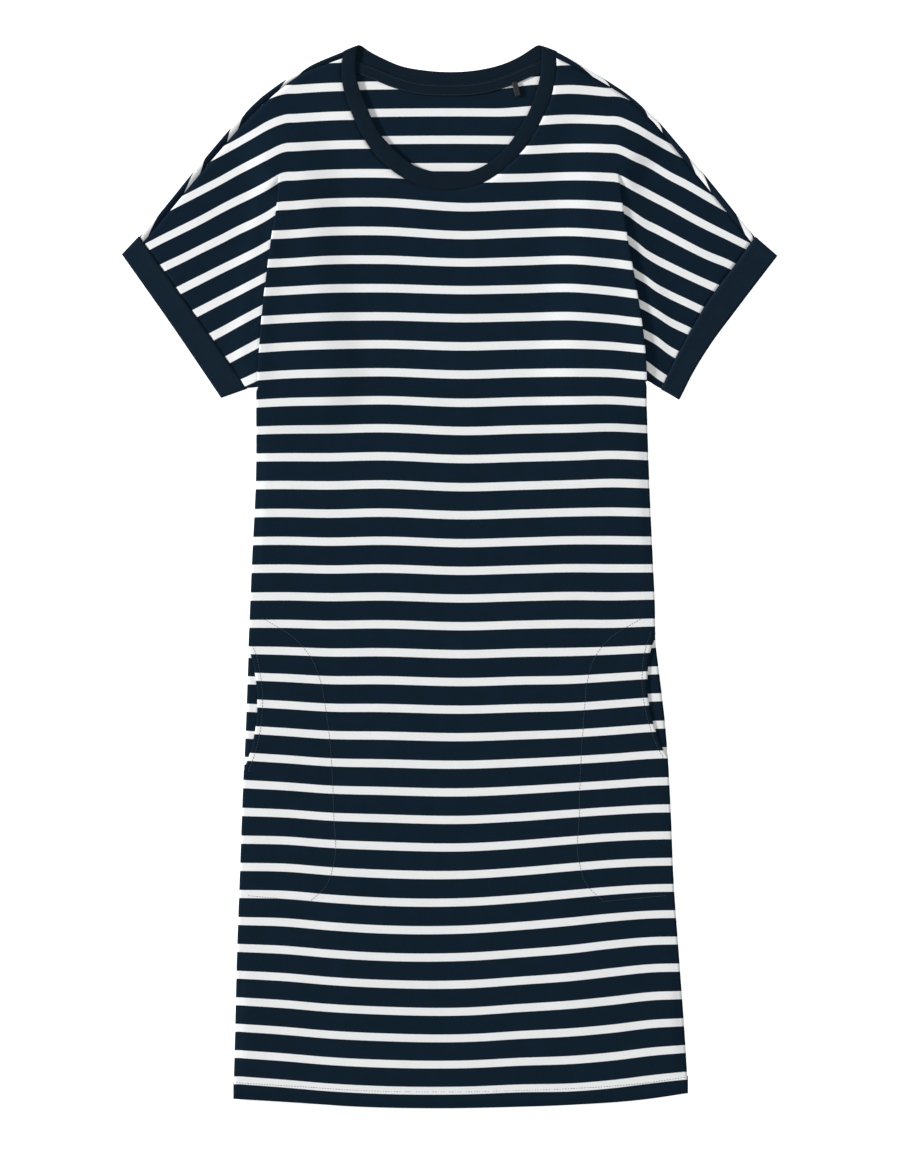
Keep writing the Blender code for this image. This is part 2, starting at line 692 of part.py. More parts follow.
def make_loop(collection):
    """The small tab on the tape, right of the middle."""
    tilt = math.radians(LOOP_TILT)
    z = BACK_Z + 2.0 * (WALL + SEAM_GAP)
    down = np.array((math.sin(tilt), -math.cos(tilt)))
    across = np.array((-down[1], down[0]))
    rows = []
    for k in range(LOOP_ROWS + 1):
        spot = np.array(LOOP_MIDDLE) + down * LOOP_LENGTH * (k / LOOP_ROWS - 0.5)
        rows.append([(*(spot + across * LOOP_HALF_WIDTH * s), z) for s in (-1.0, 1.0)])
    return cloth("neck_loop", [rows], WALL, LABEL_GREY, collection)


def main():
    """Clear the scene and make the garment's pieces."""
    for item in list(bpy.data.objects):
        bpy.data.objects.remove(item, do_unlink=True)
    collection = bpy.data.collections.new("nightshirt")
    bpy.context.scene.collection.children.link(collection)
    make_panel("back", collection)
    make_panel("front", collection)
    make_neckband(collection)
    make_tape(collection)
    make_loop(collection)
    for name, side in (("left", -1), ("right", 1)):
        make_cuff("cuff_" + name, side, collection)
        make_pocket("pocket_" + name, side, collection)


main()
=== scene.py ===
"""Looks of a short-sleeved striped jersey nightshirt, laid flat with its front up.

Sizes are in millimetres in the tables and on the classes, and metres in the meshes.
+X is the right of the garment as it is looked down on, +Y runs to the neck, +Z is up.
"""

import logging
import math
from dataclasses import dataclass
from enum import Enum
from typing import Callable, Sequence

import bmesh
import bpy
import numpy as np
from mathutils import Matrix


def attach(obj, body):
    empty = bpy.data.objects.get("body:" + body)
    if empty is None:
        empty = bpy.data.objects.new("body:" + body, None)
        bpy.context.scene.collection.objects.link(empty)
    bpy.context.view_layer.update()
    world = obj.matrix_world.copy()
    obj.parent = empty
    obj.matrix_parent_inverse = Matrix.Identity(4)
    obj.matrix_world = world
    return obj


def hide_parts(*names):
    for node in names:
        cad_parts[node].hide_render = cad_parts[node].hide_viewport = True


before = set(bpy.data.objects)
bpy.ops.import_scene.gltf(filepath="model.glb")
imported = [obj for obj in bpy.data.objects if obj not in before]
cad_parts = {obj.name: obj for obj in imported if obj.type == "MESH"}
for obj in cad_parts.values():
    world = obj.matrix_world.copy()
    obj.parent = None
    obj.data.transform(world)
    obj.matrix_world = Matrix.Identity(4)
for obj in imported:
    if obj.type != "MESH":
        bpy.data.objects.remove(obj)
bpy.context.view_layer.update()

LOG = logging.getLogger("nightshirt")
MM = 0.001
Points = np.ndarray
Grid = list[Points]     # rows of points, each row an array of x, y, z, u, v


class Layer(Enum):
    """Which of the two main pieces a panel is."""

    FRONT = "front"
    BACK = "back"


class Side(Enum):
    """Left and right as the garment is looked down on."""

    LEFT = -1
    RIGHT = 1


def ease(t: Points | float) -> Points:
    """Rise smoothly from 0 to 1."""
    t = np.clip(t, 0.0, 1.0)
    return t * t * (3.0 - 2.0 * t)


def swell(t: Points | float, middle: float, width: float) -> Points:
    """Rise to 1 at the middle and die away at this width from it."""
    return np.exp(-((t - middle) / width) ** 2)


def unit(vector: Points) -> Points:
    """Give the vector, or each row of vectors, length 1."""
    return vector / np.maximum(np.linalg.norm(vector, axis=-1, keepdims=True), 1e-9)


class Line:
    """A smooth line through values at rising knots."""

    def __init__(self, knots: Sequence[float], values: Sequence) -> None:
        """Keep the knots, the values and the slope at each.

        Args:
            knots: rising places.
            values: a number or a point at each place.
        """
        self.knots = np.array(knots, float)
        self.values = np.array(values, float)
        self.slopes = np.gradient(self.values, self.knots, axis=0)

    def __call__(self, t: Points | float) -> Points:
        """Read the line.

        Args:
            t: one place or many.

        Returns:
            The value at each place.
        """
        t = np.clip(t, self.knots[0], self.knots[-1])
        k = np.clip(np.searchsorted(self.knots, t, side="right") - 1, 0, len(self.knots) - 2)
        span = self.knots[k + 1] - self.knots[k]
        s = (t - self.knots[k]) / span
        if self.values.ndim == 2 and np.ndim(s):
            s, span = s[:, None], span[:, None]
        rise = s * s * (3.0 - 2.0 * s)
        lead = span * s * (1.0 - s) ** 2 * self.slopes[k]
        trail = span * s * s * (s - 1.0) * self.slopes[k + 1]
        return self.values[k] * (1.0 - rise) + self.values[k + 1] * rise + lead + trail


class Field:
    """A smooth surface through a table's values."""

    FINE = 200

    def __init__(self, across: Sequence[float], rows: Sequence[tuple[float, Sequence[float]]]) -> None:
        """Spread the table over a fine grid.

        Args:
            across: rising places of the columns.
            rows: a rising place for each row, and its values.
        """
        self.x = np.linspace(across[0], across[-1], self.FINE)
        self.y = np.linspace(rows[0][0], rows[-1][0], self.FINE)
        spread = np.array([Line(across, values)(self.x) for _, values in rows])
        self.grid = Line([place for place, _ in rows], spread)(self.y)

    def __call__(self, x: Points, y: Points) -> Points:
        """Read the surface, held level beyond the table's edges.

        Args:
            x: places along the table's rows.
            y: places down its columns.

        Returns:
            The value at each place.
        """
        last = self.FINE - 1.001
        across = np.clip((x - self.x[0]) / (self.x[1] - self.x[0]), 0.0, last)
        down = np.clip((y - self.y[0]) / (self.y[1] - self.y[0]), 0.0, last)
        i, k = down.astype(int), across.astype(int)
        a, b = down - i, across - k
        low = self.grid[i, k] * (1.0 - b) + self.grid[i, k + 1] * b
        high = self.grid[i + 1, k] * (1.0 - b) + self.grid[i + 1, k + 1] * b
        return low * (1.0 - a) + high * a


def seam_normal(seam: Callable[[float], Points], t: float) -> Points:
    """Give the direction to the right of the way along a seam."""
    step = unit(seam(min(t + 0.01, 1.0)) - seam(max(t - 0.01, 0.0)))
    return np.array((step[1], -step[0]))


def path(points: Sequence) -> Line:
    """Run a smooth line of 0 to 1 through the points."""
    points = np.array(points, float)
    steps = np.linalg.norm(np.diff(points, axis=0), axis=1)
    return Line(np.concatenate([[0.0], np.cumsum(steps)]) / steps.sum(), points)


# Cloth
WALL = 0.95             # jersey
BAND_WALL = 1.5         # neckband and cuffs, folded double
SEAM_GAP = 0.3
NECK_TUCK = 0.6         # front's edge under the neckband
CUFF_TUCK = 0.6         # and under the cuff
FOLD_RADIUS = 0.7
FOLD_SHUT = 12.0        # down the underarm fold to where it is folded right under
FOLD_HASTE = 0.7        # below 1, it turns fastest at its beginning
FOLD_BACK_INSET = 1.2   # of the back's fold inside the front's
FOLD_SPREAD = 30.0      # over which the fold's height dies away into the sleeve
ARCH_SPREAD = (16.0, 20.0)      # over which the arch of the underarm grows from the cuff and the fold
FLAT_STEP = 0.35        # between a fold's points where the cloth still lies flat
STRIPES_PART = 45.0     # down the fold to where body and sleeve no longer share their stripes
SIDE_TRIM = {Layer.FRONT: -0.3, Layer.BACK: 0.6}        # of the body's edges inside the outline
STRIPE_REPEAT = 29.56   # from one white stripe to the next
WHITE_SHARE = 0.294     # of the repeat

# Heights of the middle of the cloth
LAYER_LIFT = 1.3        # from one layer to the next where they touch
BACK_Z = 0.5
FRONT_Z = 3.4
NECK_Z = 4.2            # front's edge at the neckband
SLEEVE_Z = 2.4          # front half of the sleeve
EDGE_Z = BACK_Z + LAYER_LIFT
POCKET_Z = BACK_Z + LAYER_LIFT
MOUTH_Z = POCKET_Z + LAYER_LIFT
TUCK_DROP = 4.0 * FOLD_RADIUS
TUCK_BACK_Z = BACK_Z + TUCK_DROP
TUCK_SLEEVE_Z = TUCK_BACK_Z + LAYER_LIFT
TUCK_FRONT_Z = TUCK_SLEEVE_Z + TUCK_DROP
HEM_FRONT_Z = BACK_Z + 2.0 * FOLD_RADIUS + LAYER_LIFT + 2.0 * FOLD_RADIUS

HEM_DEPTH = 17.0
HEM_STITCH = 16.5       # from the hem's edge up to its stitches

# Body sides: height up the garment, left edge, right edge
BODY_SIDES = (
    (-560.0, -227.0, 251.0),
    (-487.0, -225.0, 247.0),
    (-403.0, -223.0, 241.0),
    (-319.0, -220.0, 235.0),
    (-235.0, -217.0, 231.5),
    (-151.0, -213.5, 226.0),
    (-108.0, -212.0, 221.0),
    (-67.0, -210.5, 216.2),
    (-25.0, -208.8, 215.2),
    (17.0, -207.0, 213.2),
    (101.0, -203.0, 209.4),
    (185.0, -202.5, 206.5),
)
# Hem edge: distance across, height
HEM_EDGE = (
    (-227.0, -547.5), (-161.0, -551.5), (-101.0, -555.5), (-13.0, -557.4),
    (67.0, -556.0), (134.0, -553.5), (201.0, -548.5), (250.5, -541.5),
)
# Shoulder seam on the front, from the neck to the cuff: across, height
SHOULDERS = {
    Side.LEFT: (
        (-113.5, 544.5), (-158.0, 526.0), (-198.0, 493.5), (-249.5, 435.5), (-304.5, 367.5), (-319.5, 350.0),
    ),
    Side.RIGHT: (
        (112.0, 544.5), (146.5, 526.5), (195.0, 495.0), (245.0, 438.5), (305.0, 366.0), (318.5, 349.5),
    ),
}
# Distance across, how far the back comes round the shoulder to the front
SHOULDER_ROLLS = {
    Side.LEFT: ((115.0, 7.0), (139.0, 5.0), (158.0, 3.4), (175.0, 5.2), (192.0, 7.0)),
    Side.RIGHT: (
        (118.0, 7.0), (140.0, 5.0), (171.0, 4.0), (199.0, 3.6), (218.0, 4.8), (240.0, 6.0), (265.0, 6.8),
    ),
}
SHOULDER_SPLIT = 0.42   # share of the shoulder seam that is the body's
ROLL_TURN = 35.0        # over which the roll turns to run beside the neckband
# Edge of the underarm fold, from its beginning down to the side seam: across, height
TUCKS = {
    Side.LEFT: (
        (-178.5, 420.0), (-181.5, 385.0), (-185.6, 362.0), (-190.0, 330.0), (-196.8, 271.5), (-200.7, 212.5),
        (-201.2, 199.0),
    ),
    Side.RIGHT: (
        (176.0, 428.0), (185.5, 361.0), (197.0, 295.5), (203.0, 255.0), (206.2, 220.0), (206.4, 204.5),
    ),
}
TUCK_ANGLE = 13.3
UNDERARM_RISE = {Side.LEFT: 0.8, Side.RIGHT: 6.5}       # how far the sleeve's lower edge arches up
# Cuff seam and outer edge, top to bottom: across, height
CUFF_SEAMS = {
    Side.LEFT: ((-325.5, 356.5), (-212.6, 198.0)),
    Side.RIGHT: (
        (320.5, 356.0), (301.5, 329.5), (284.0, 306.5), (268.0, 283.5), (254.5, 260.5), (240.5, 235.0),
        (222.3, 197.5),
    ),
}
CUFF_EDGES = {
    Side.LEFT: ((-343.0, 338.0), (-290.6, 263.6), (-239.5, 188.5)),
    Side.RIGHT: ((343.0, 336.5), (302.7, 283.6), (273.2, 243.6), (256.3, 216.4), (241.0, 186.5)),
}
# Front neckband: across and height of its seam, across and height of its free edge
NECK_FRONT = (
    (-111.6, 549.0, -97.4, 554.6),
    (-113.8, 528.0, -98.5, 529.0),
    (-110.8, 509.8, -95.4, 514.5),
    (-102.4, 485.6, -87.2, 494.5),
    (-88.7, 457.8, -75.8, 468.5),
    (-73.0, 437.3, -61.5, 451.5),
    (-40.4, 414.2, -34.0, 430.0),
    (-0.5, 405.8, -0.5, 423.7),
    (32.0, 412.0, 27.0, 427.0),
    (65.6, 435.6, 53.5, 444.0),
    (84.5, 457.8, 72.0, 468.0),
    (98.2, 483.5, 84.0, 489.5),
    (106.2, 502.4, 91.0, 509.0),
    (111.2, 524.5, 95.5, 528.5),
    (112.3, 549.0, 97.0, 554.0),
)
NECK_MIDDLE = 7
# Back neckband, the same columns
NECK_BACK = (
    (-111.6, 549.0, -92.0, 557.0),
    (-99.2, 541.0, -86.5, 552.9),
    (-78.6, 532.9, -70.9, 544.4),
    (-55.1, 523.4, -50.9, 536.0),
    (-32.0, 517.5, -28.9, 531.8),
    (-0.5, 515.6, -0.5, 529.7),
    (32.0, 517.7, 29.9, 531.8),
    (60.4, 525.5, 56.2, 538.1),
    (82.4, 535.0, 74.5, 546.5),
    (100.3, 541.5, 86.0, 554.0),
    (112.3, 549.0, 91.0, 557.2),
)
BACK_MIDDLE = 5
NECK_START = {Layer.FRONT: 0.024, Layer.BACK: 0.06}     # share of the band's half above the panel
CUFF_START = 7.0 / 194.0                                # share of the cuff's seam above the panel
# Pocket mouths: height of each end, how far the front is scooped out
MOUTHS = {Side.LEFT: (-76.0, -201.0, 11.5), Side.RIGHT: (-63.0, -188.0, 14.8)}
POCKET_TOP = -42.0
POCKET_BOTTOM = -343.0
# Pocket bag's inner edge: height, distance in from the side
POCKET_INNER = (
    (-343.0, 72.0), (-328.0, 88.0), (-300.0, 98.0), (-250.0, 96.0), (-191.0, 91.0),
    (-136.0, 82.5), (-108.0, 76.0), (-80.0, 62.0), (-62.0, 44.0), (-42.0, 10.0),
)
# How far the stripes hang below the level line, by height and distance across
SAG_ACROSS = (-220.0, -173.0, -125.0, -75.0, 20.0, 74.0, 130.0, 169.0, 216.0, 246.0)
SAG_ROWS = (
    (-540.0, (-11.5, -8.0, -4.0, -1.5, -1.0, -3.0, -4.0, -7.0, -12.5, -16.0)),
    (-455.0, (-11.5, -8.5, -4.5, -2.0, -1.0, -4.5, -8.0, -11.5, -16.5, -17.6)),
    (-390.0, (-11.5, -9.5, -5.5, -2.5, -2.5, -6.0, -10.5, -15.0, -19.0, -19.4)),
    (-340.0, (-11.5, -10.5, -6.5, -3.5, -3.0, -6.5, -11.5, -15.0, -18.0, -18.4)),
    (-277.0, (-11.0, -10.0, -6.5, -4.5, -3.0, -6.0, -10.5, -13.5, -15.5, -15.8)),
    (-197.0, (-11.0, -8.0, -4.5, -3.5, -2.0, -4.0, -7.0, -9.5, -13.0, -13.6)),
    (-109.0, (-6.5, -4.5, -2.0, -2.0, 0.0, -1.5, -2.5, -5.0, -8.0, -8.6)),
    (-50.0, (-2.0, -2.0, -1.0, -1.5, 0.5, -1.0, -2.0, -2.0, -3.5, -3.6)),
    (38.0, (0.0, -0.5, 0.5, -0.5, 2.0, 0.5, -1.0, -1.0, -0.5, -0.5)),
    (125.0, (1.0, 0.5, 0.5, -0.5, 2.5, 1.0, -0.5, -2.0, -0.5, -0.5)),
    (210.0, (6.0, 2.5, 1.0, 0.0, 2.5, 1.0, 0.5, 1.0, 4.5, 4.5)),
    (300.0, (6.0, 3.5, 1.0, 0.5, 2.5, 1.5, 0.5, 3.7, 9.5, 10.0)),
    (390.0, (4.0, 2.9, -0.5, -1.0, 4.2, 2.4, 1.0, 3.1, 8.4, 8.5)),
    (452.0, (3.8, 1.0, -1.9, -2.5, 2.0, 3.5, 1.3, 2.2, 8.6, 8.5)),
    (514.0, (3.0, -0.6, -3.6, -4.0, 0.0, 2.0, -1.3, 2.3, 8.4, 8.5)),
)
STRIPE_START = 391.7    # height of a white stripe's middle, left of the centre front
PRESS_START = -192.7    # below here the stripes crowd a little
PRESS = 0.000116
BACK_STRIPE_START = 516.0
BACK_STRIPE_REPEAT = 28.75
# How far the back's stripes fall to each side, and rise beside the neck on the right:
# the height, then the distance across where it starts and the width over which it grows
BACK_STRIPE_FALL = (15.5, 106.0, 72.0)
BACK_STRIPE_RISE = (5.5, 45.0, 50.0)
# Height on the pocket bag, how far its stripes lie below the front's
POCKET_DROP = {
    Side.LEFT: ((-200.0, 4.0), (-166.0, 5.5), (-138.0, 5.1), (-108.0, 3.9)),
    Side.RIGHT: ((-184.0, -3.4), (-156.0, -3.0), (-127.0, -4.0), (-98.0, -4.7), (-70.0, -5.1)),
}
# Where the body's stripes bend into the sleeve's: distance across, width of the bend
BLEND = {Side.LEFT: (176.0, 30.0), Side.RIGHT: (179.0, 30.0)}


@dataclass(frozen=True)
class SleeveStripes:
    """How the stripes lie on one sleeve.

    Attributes:
        across: distance across of a point on the stripe that counts as 0.
        height: that point's height.
        slope: degrees that the stripes fall towards the cuff.
        repeat: from one white stripe to the next.
        back_shift: how far the back's stripes are out of step, in repeats.
        back_drift: how far the back's stripes lie off the straight run, by distance across.
        across_knots: distances across of the table's columns.
        table: stripe's number, then how far it hangs below the straight run, in repeats.
    """

    across: float
    height: float
    slope: float
    repeat: float
    back_shift: float
    back_drift: tuple[tuple[float, float], ...]
    across_knots: tuple[float, ...]
    table: tuple[tuple[float, tuple[float, ...]], ...]


SLEEVE_STRIPES = {
    Side.LEFT: SleeveStripes(
        -220.0, 363.9, 27.4, 28.3, 3.66,
        ((172.0, -0.24), (200.0, -0.03), (236.0, 0.06), (269.0, 0.23), (316.0, 0.07)),
        (176.0, 190.0, 205.0, 220.0, 240.0, 260.0, 280.0, 300.0),
        (
            (-3.0, (0.13, 0.05, 0.08, 0.11, 0.12, 0.12, 0.12, 0.12)),
            (-2.0, (0.08, 0.04, 0.03, 0.02, 0.05, 0.05, 0.05, 0.05)),
            (-1.0, (0.01, 0.02, 0.02, 0.0, -0.01, 0.01, 0.0, -0.02)),
            (0.0, (-0.04, 0.01, 0.02, -0.01, -0.01, -0.03, -0.04, -0.07)),
            (1.0, (-0.05, -0.01, 0.01, 0.0, -0.02, -0.03, -0.04, -0.04)),
            (2.0, (0.0, 0.0, 0.0, 0.0, -0.01, -0.01, -0.01, -0.01)),
            (3.0, (0.0, 0.01, 0.01, 0.02, 0.04, 0.04, 0.04, 0.04)),
            (4.0, (0.04, 0.05, 0.05, 0.06, 0.07, 0.07, 0.07, 0.07)),
            (5.0, (0.12, 0.12, 0.12, 0.09, 0.08, 0.08, 0.08, 0.08)),
        ),
    ),
    Side.RIGHT: SleeveStripes(
        298.7, 325.5, 26.6, 28.0, 3.57,
        ((167.0, -0.08), (215.0, 0.2), (240.0, 0.26), (275.0, 0.22), (321.0, 0.04)),
        (187.0, 196.0, 206.0, 216.0, 230.0, 250.0, 270.0, 290.0),
        (
            (-3.0, (0.05, 0.03, 0.06, 0.09, 0.11, 0.11, 0.11, 0.11)),
            (-2.0, (0.03, 0.01, -0.02, 0.0, 0.05, 0.06, 0.12, 0.17)),
            (-1.0, (0.03, 0.02, 0.02, 0.03, 0.04, 0.08, 0.1, 0.1)),
            (0.0, (-0.05, 0.02, 0.07, 0.06, 0.07, 0.09, 0.09, 0.02)),
            (1.0, (-0.12, -0.05, 0.06, 0.09, 0.09, 0.08, 0.05, 0.0)),
            (2.0, (-0.15, -0.1, -0.07, 0.02, 0.04, 0.02, 0.0, -0.03)),
            (3.0, (-0.2, -0.17, -0.17, -0.15, -0.07, -0.08, -0.08, -0.08)),
            (4.0, (-0.25, -0.24, -0.23, -0.21, -0.1, -0.08, -0.08, -0.08)),
            (5.0, (-0.25, -0.25, -0.2, -0.1, -0.05, -0.05, -0.05, -0.05)),
        ),
    ),
}
# Creases: from and to across and height, half width, height of the ridge, below 0 a trough
CREASES = (
    (-178.0, 330.0, -96.0, 214.0, 16.0, 0.55),
    (-188.0, 250.0, -120.0, 120.0, 14.0, -0.45),
    (176.0, 322.0, 104.0, 216.0, 17.0, 0.5),
    (190.0, 240.0, 128.0, 104.0, 15.0, -0.5),
    (-52.0, 396.0, -20.0, 268.0, 22.0, -0.4),
    (46.0, 392.0, 22.0, 250.0, 24.0, 0.45),
    (-150.0, 40.0, -60.0, -36.0, 26.0, 0.5),
    (150.0, -20.0, 76.0, 66.0, 24.0, 0.45),
    (-118.0, -300.0, -104.0, -520.0, 26.0, 0.6),
    (-10.0, -330.0, 14.0, -548.0, 30.0, -0.45),
    (122.0, -288.0, 136.0, -538.0, 27.0, 0.65),
    (196.0, -372.0, 212.0, -538.0, 16.0, -0.5),
    (-190.0, -392.0, -186.0, -545.0, 15.0, -0.45),
    (-244.0, 404.0, -300.0, 338.0, 12.0, 0.35),
    (-226.0, 300.0, -262.0, 262.0, 11.0, 0.4),
    (226.0, 372.0, 282.0, 318.0, 12.0, 0.45),
    (214.0, 330.0, 226.0, 250.0, 8.0, 0.9),
    (222.0, 296.0, 254.0, 262.0, 10.0, -0.35),
)


class Cut:
    """The garment's lines as laid, worked out from the tables."""

    def __init__(self) -> None:
        """Build every line once."""
        heights = [row[0] for row in BODY_SIDES]
        self.side_x = {
            Side.LEFT: Line(heights, [row[1] for row in BODY_SIDES]),
            Side.RIGHT: Line(heights, [row[2] for row in BODY_SIDES]),
        }
        self.hem_y = Line([row[0] for row in HEM_EDGE], [row[1] for row in HEM_EDGE])
        self.hem_corner = {Side.LEFT: HEM_EDGE[0][1], Side.RIGHT: HEM_EDGE[-1][1]}
        self.shoulder = {side: path(rows) for side, rows in SHOULDERS.items()}
        self.tuck = {side: path(rows) for side, rows in TUCKS.items()}
        self.cuff_seam = {side: path(rows) for side, rows in CUFF_SEAMS.items()}
        self.cuff_edge = {side: path(rows) for side, rows in CUFF_EDGES.items()}
        self.pocket_inner = Line([row[0] for row in POCKET_INNER], [row[1] for row in POCKET_INNER])
        self.neckline = {
            (layer, side): self._half(rows, middle, side)
            for layer, rows, middle in (
                (Layer.FRONT, NECK_FRONT, NECK_MIDDLE),
                (Layer.BACK, NECK_BACK, BACK_MIDDLE),
            )
            for side in Side
        }
        self.neck_samples = np.array([
            self.neckline[Layer.FRONT, side](t) for side in Side for t in np.linspace(0.0, 1.0, 60)
        ])
        self.wedge = {
            side: np.array([self.tuck[side](0.0), *self.tuck_lines(side, 1.0)]) for side in Side
        }
        self.tuck_length = {
            side: float(np.linalg.norm(self.tuck[side](1.0) - self.tuck[side](0.0))) for side in Side
        }
        self.sag = Field(SAG_ACROSS, SAG_ROWS)
        self.drift = {side: Field(lay.across_knots, lay.table) for side, lay in SLEEVE_STRIPES.items()}

    @staticmethod
    def _half(rows: Sequence, middle: int, side: Side) -> Callable[[float], Points]:
        """Give the neckband's seam from the neck point on one side to the middle."""
        seam = np.array([row[:2] for row in rows])
        steps = np.linalg.norm(np.diff(seam, axis=0), axis=1)
        share = steps[:middle].sum() / steps.sum()
        along = path(seam)
        if side is Side.LEFT:
            return lambda u: along(u * share)
        return lambda u: along(1.0 - u * (1.0 - share))

    def tuck_lines(self, side: Side, t: float) -> tuple[Points, Points]:
        """Find the underarm fold's edge and its hidden inner line.

        Args:
            side: left or right.
            t: share of the way down the fold.

        Returns:
            A point on each.
        """
        pivot = self.tuck[side](0.0)
        edge = self.tuck[side](t)
        turn = -side.value * math.radians(TUCK_ANGLE)
        arm = edge - pivot
        inner = pivot + np.array((
            arm[0] * math.cos(turn) - arm[1] * math.sin(turn),
            arm[0] * math.sin(turn) + arm[1] * math.cos(turn),
        ))
        return edge, inner

    def fold_x(self, side: Side, y: Points) -> Points:
        """Find the distance across of the underarm fold's edge at each height."""
        line = self.tuck[side](np.linspace(1.0, 0.0, 40))
        return np.interp(y, line[:, 1], line[:, 0])

    def wedge_distance(self, points: Points, side: Side) -> Points:
        """Measure how far points lie outside the triangle that hides the fold."""
        corners = self.wedge[side]
        centre = corners.mean(axis=0)
        nearest = np.full(len(points), 1e9)
        inside = np.ones(len(points), bool)
        for k in range(3):
            a, b = corners[k], corners[(k + 1) % 3]
            run = b - a
            t = np.clip((points - a) @ run / (run @ run), 0.0, 1.0)
            nearest = np.minimum(nearest, np.linalg.norm(points - a - t[:, None] * run, axis=1))
            normal = np.array((-run[1], run[0]))
            inside &= ((points - a) @ normal) * ((centre - a) @ normal) >= 0.0
        return np.where(inside, 0.0, nearest)

    def mouth_inset(self, side: Side, y: Points) -> Points:
        """Measure how far the front is scooped out at the pocket mouth."""
        top, bottom, depth = MOUTHS[side]
        t = np.clip((top - y) / (top - bottom), 0.0, 1.0)
        return depth * np.sin(math.pi * t) ** 0.75

    def cuff_gap(self, points: Points, side: Side) -> Points:
        """Measure how far points lie from the cuff seam."""
        line = self.cuff_seam[side](np.linspace(0.0, 1.0, 60))
        return np.linalg.norm(points[:, None, :] - line[None, :, :], axis=2).min(axis=1)


CUT = Cut()


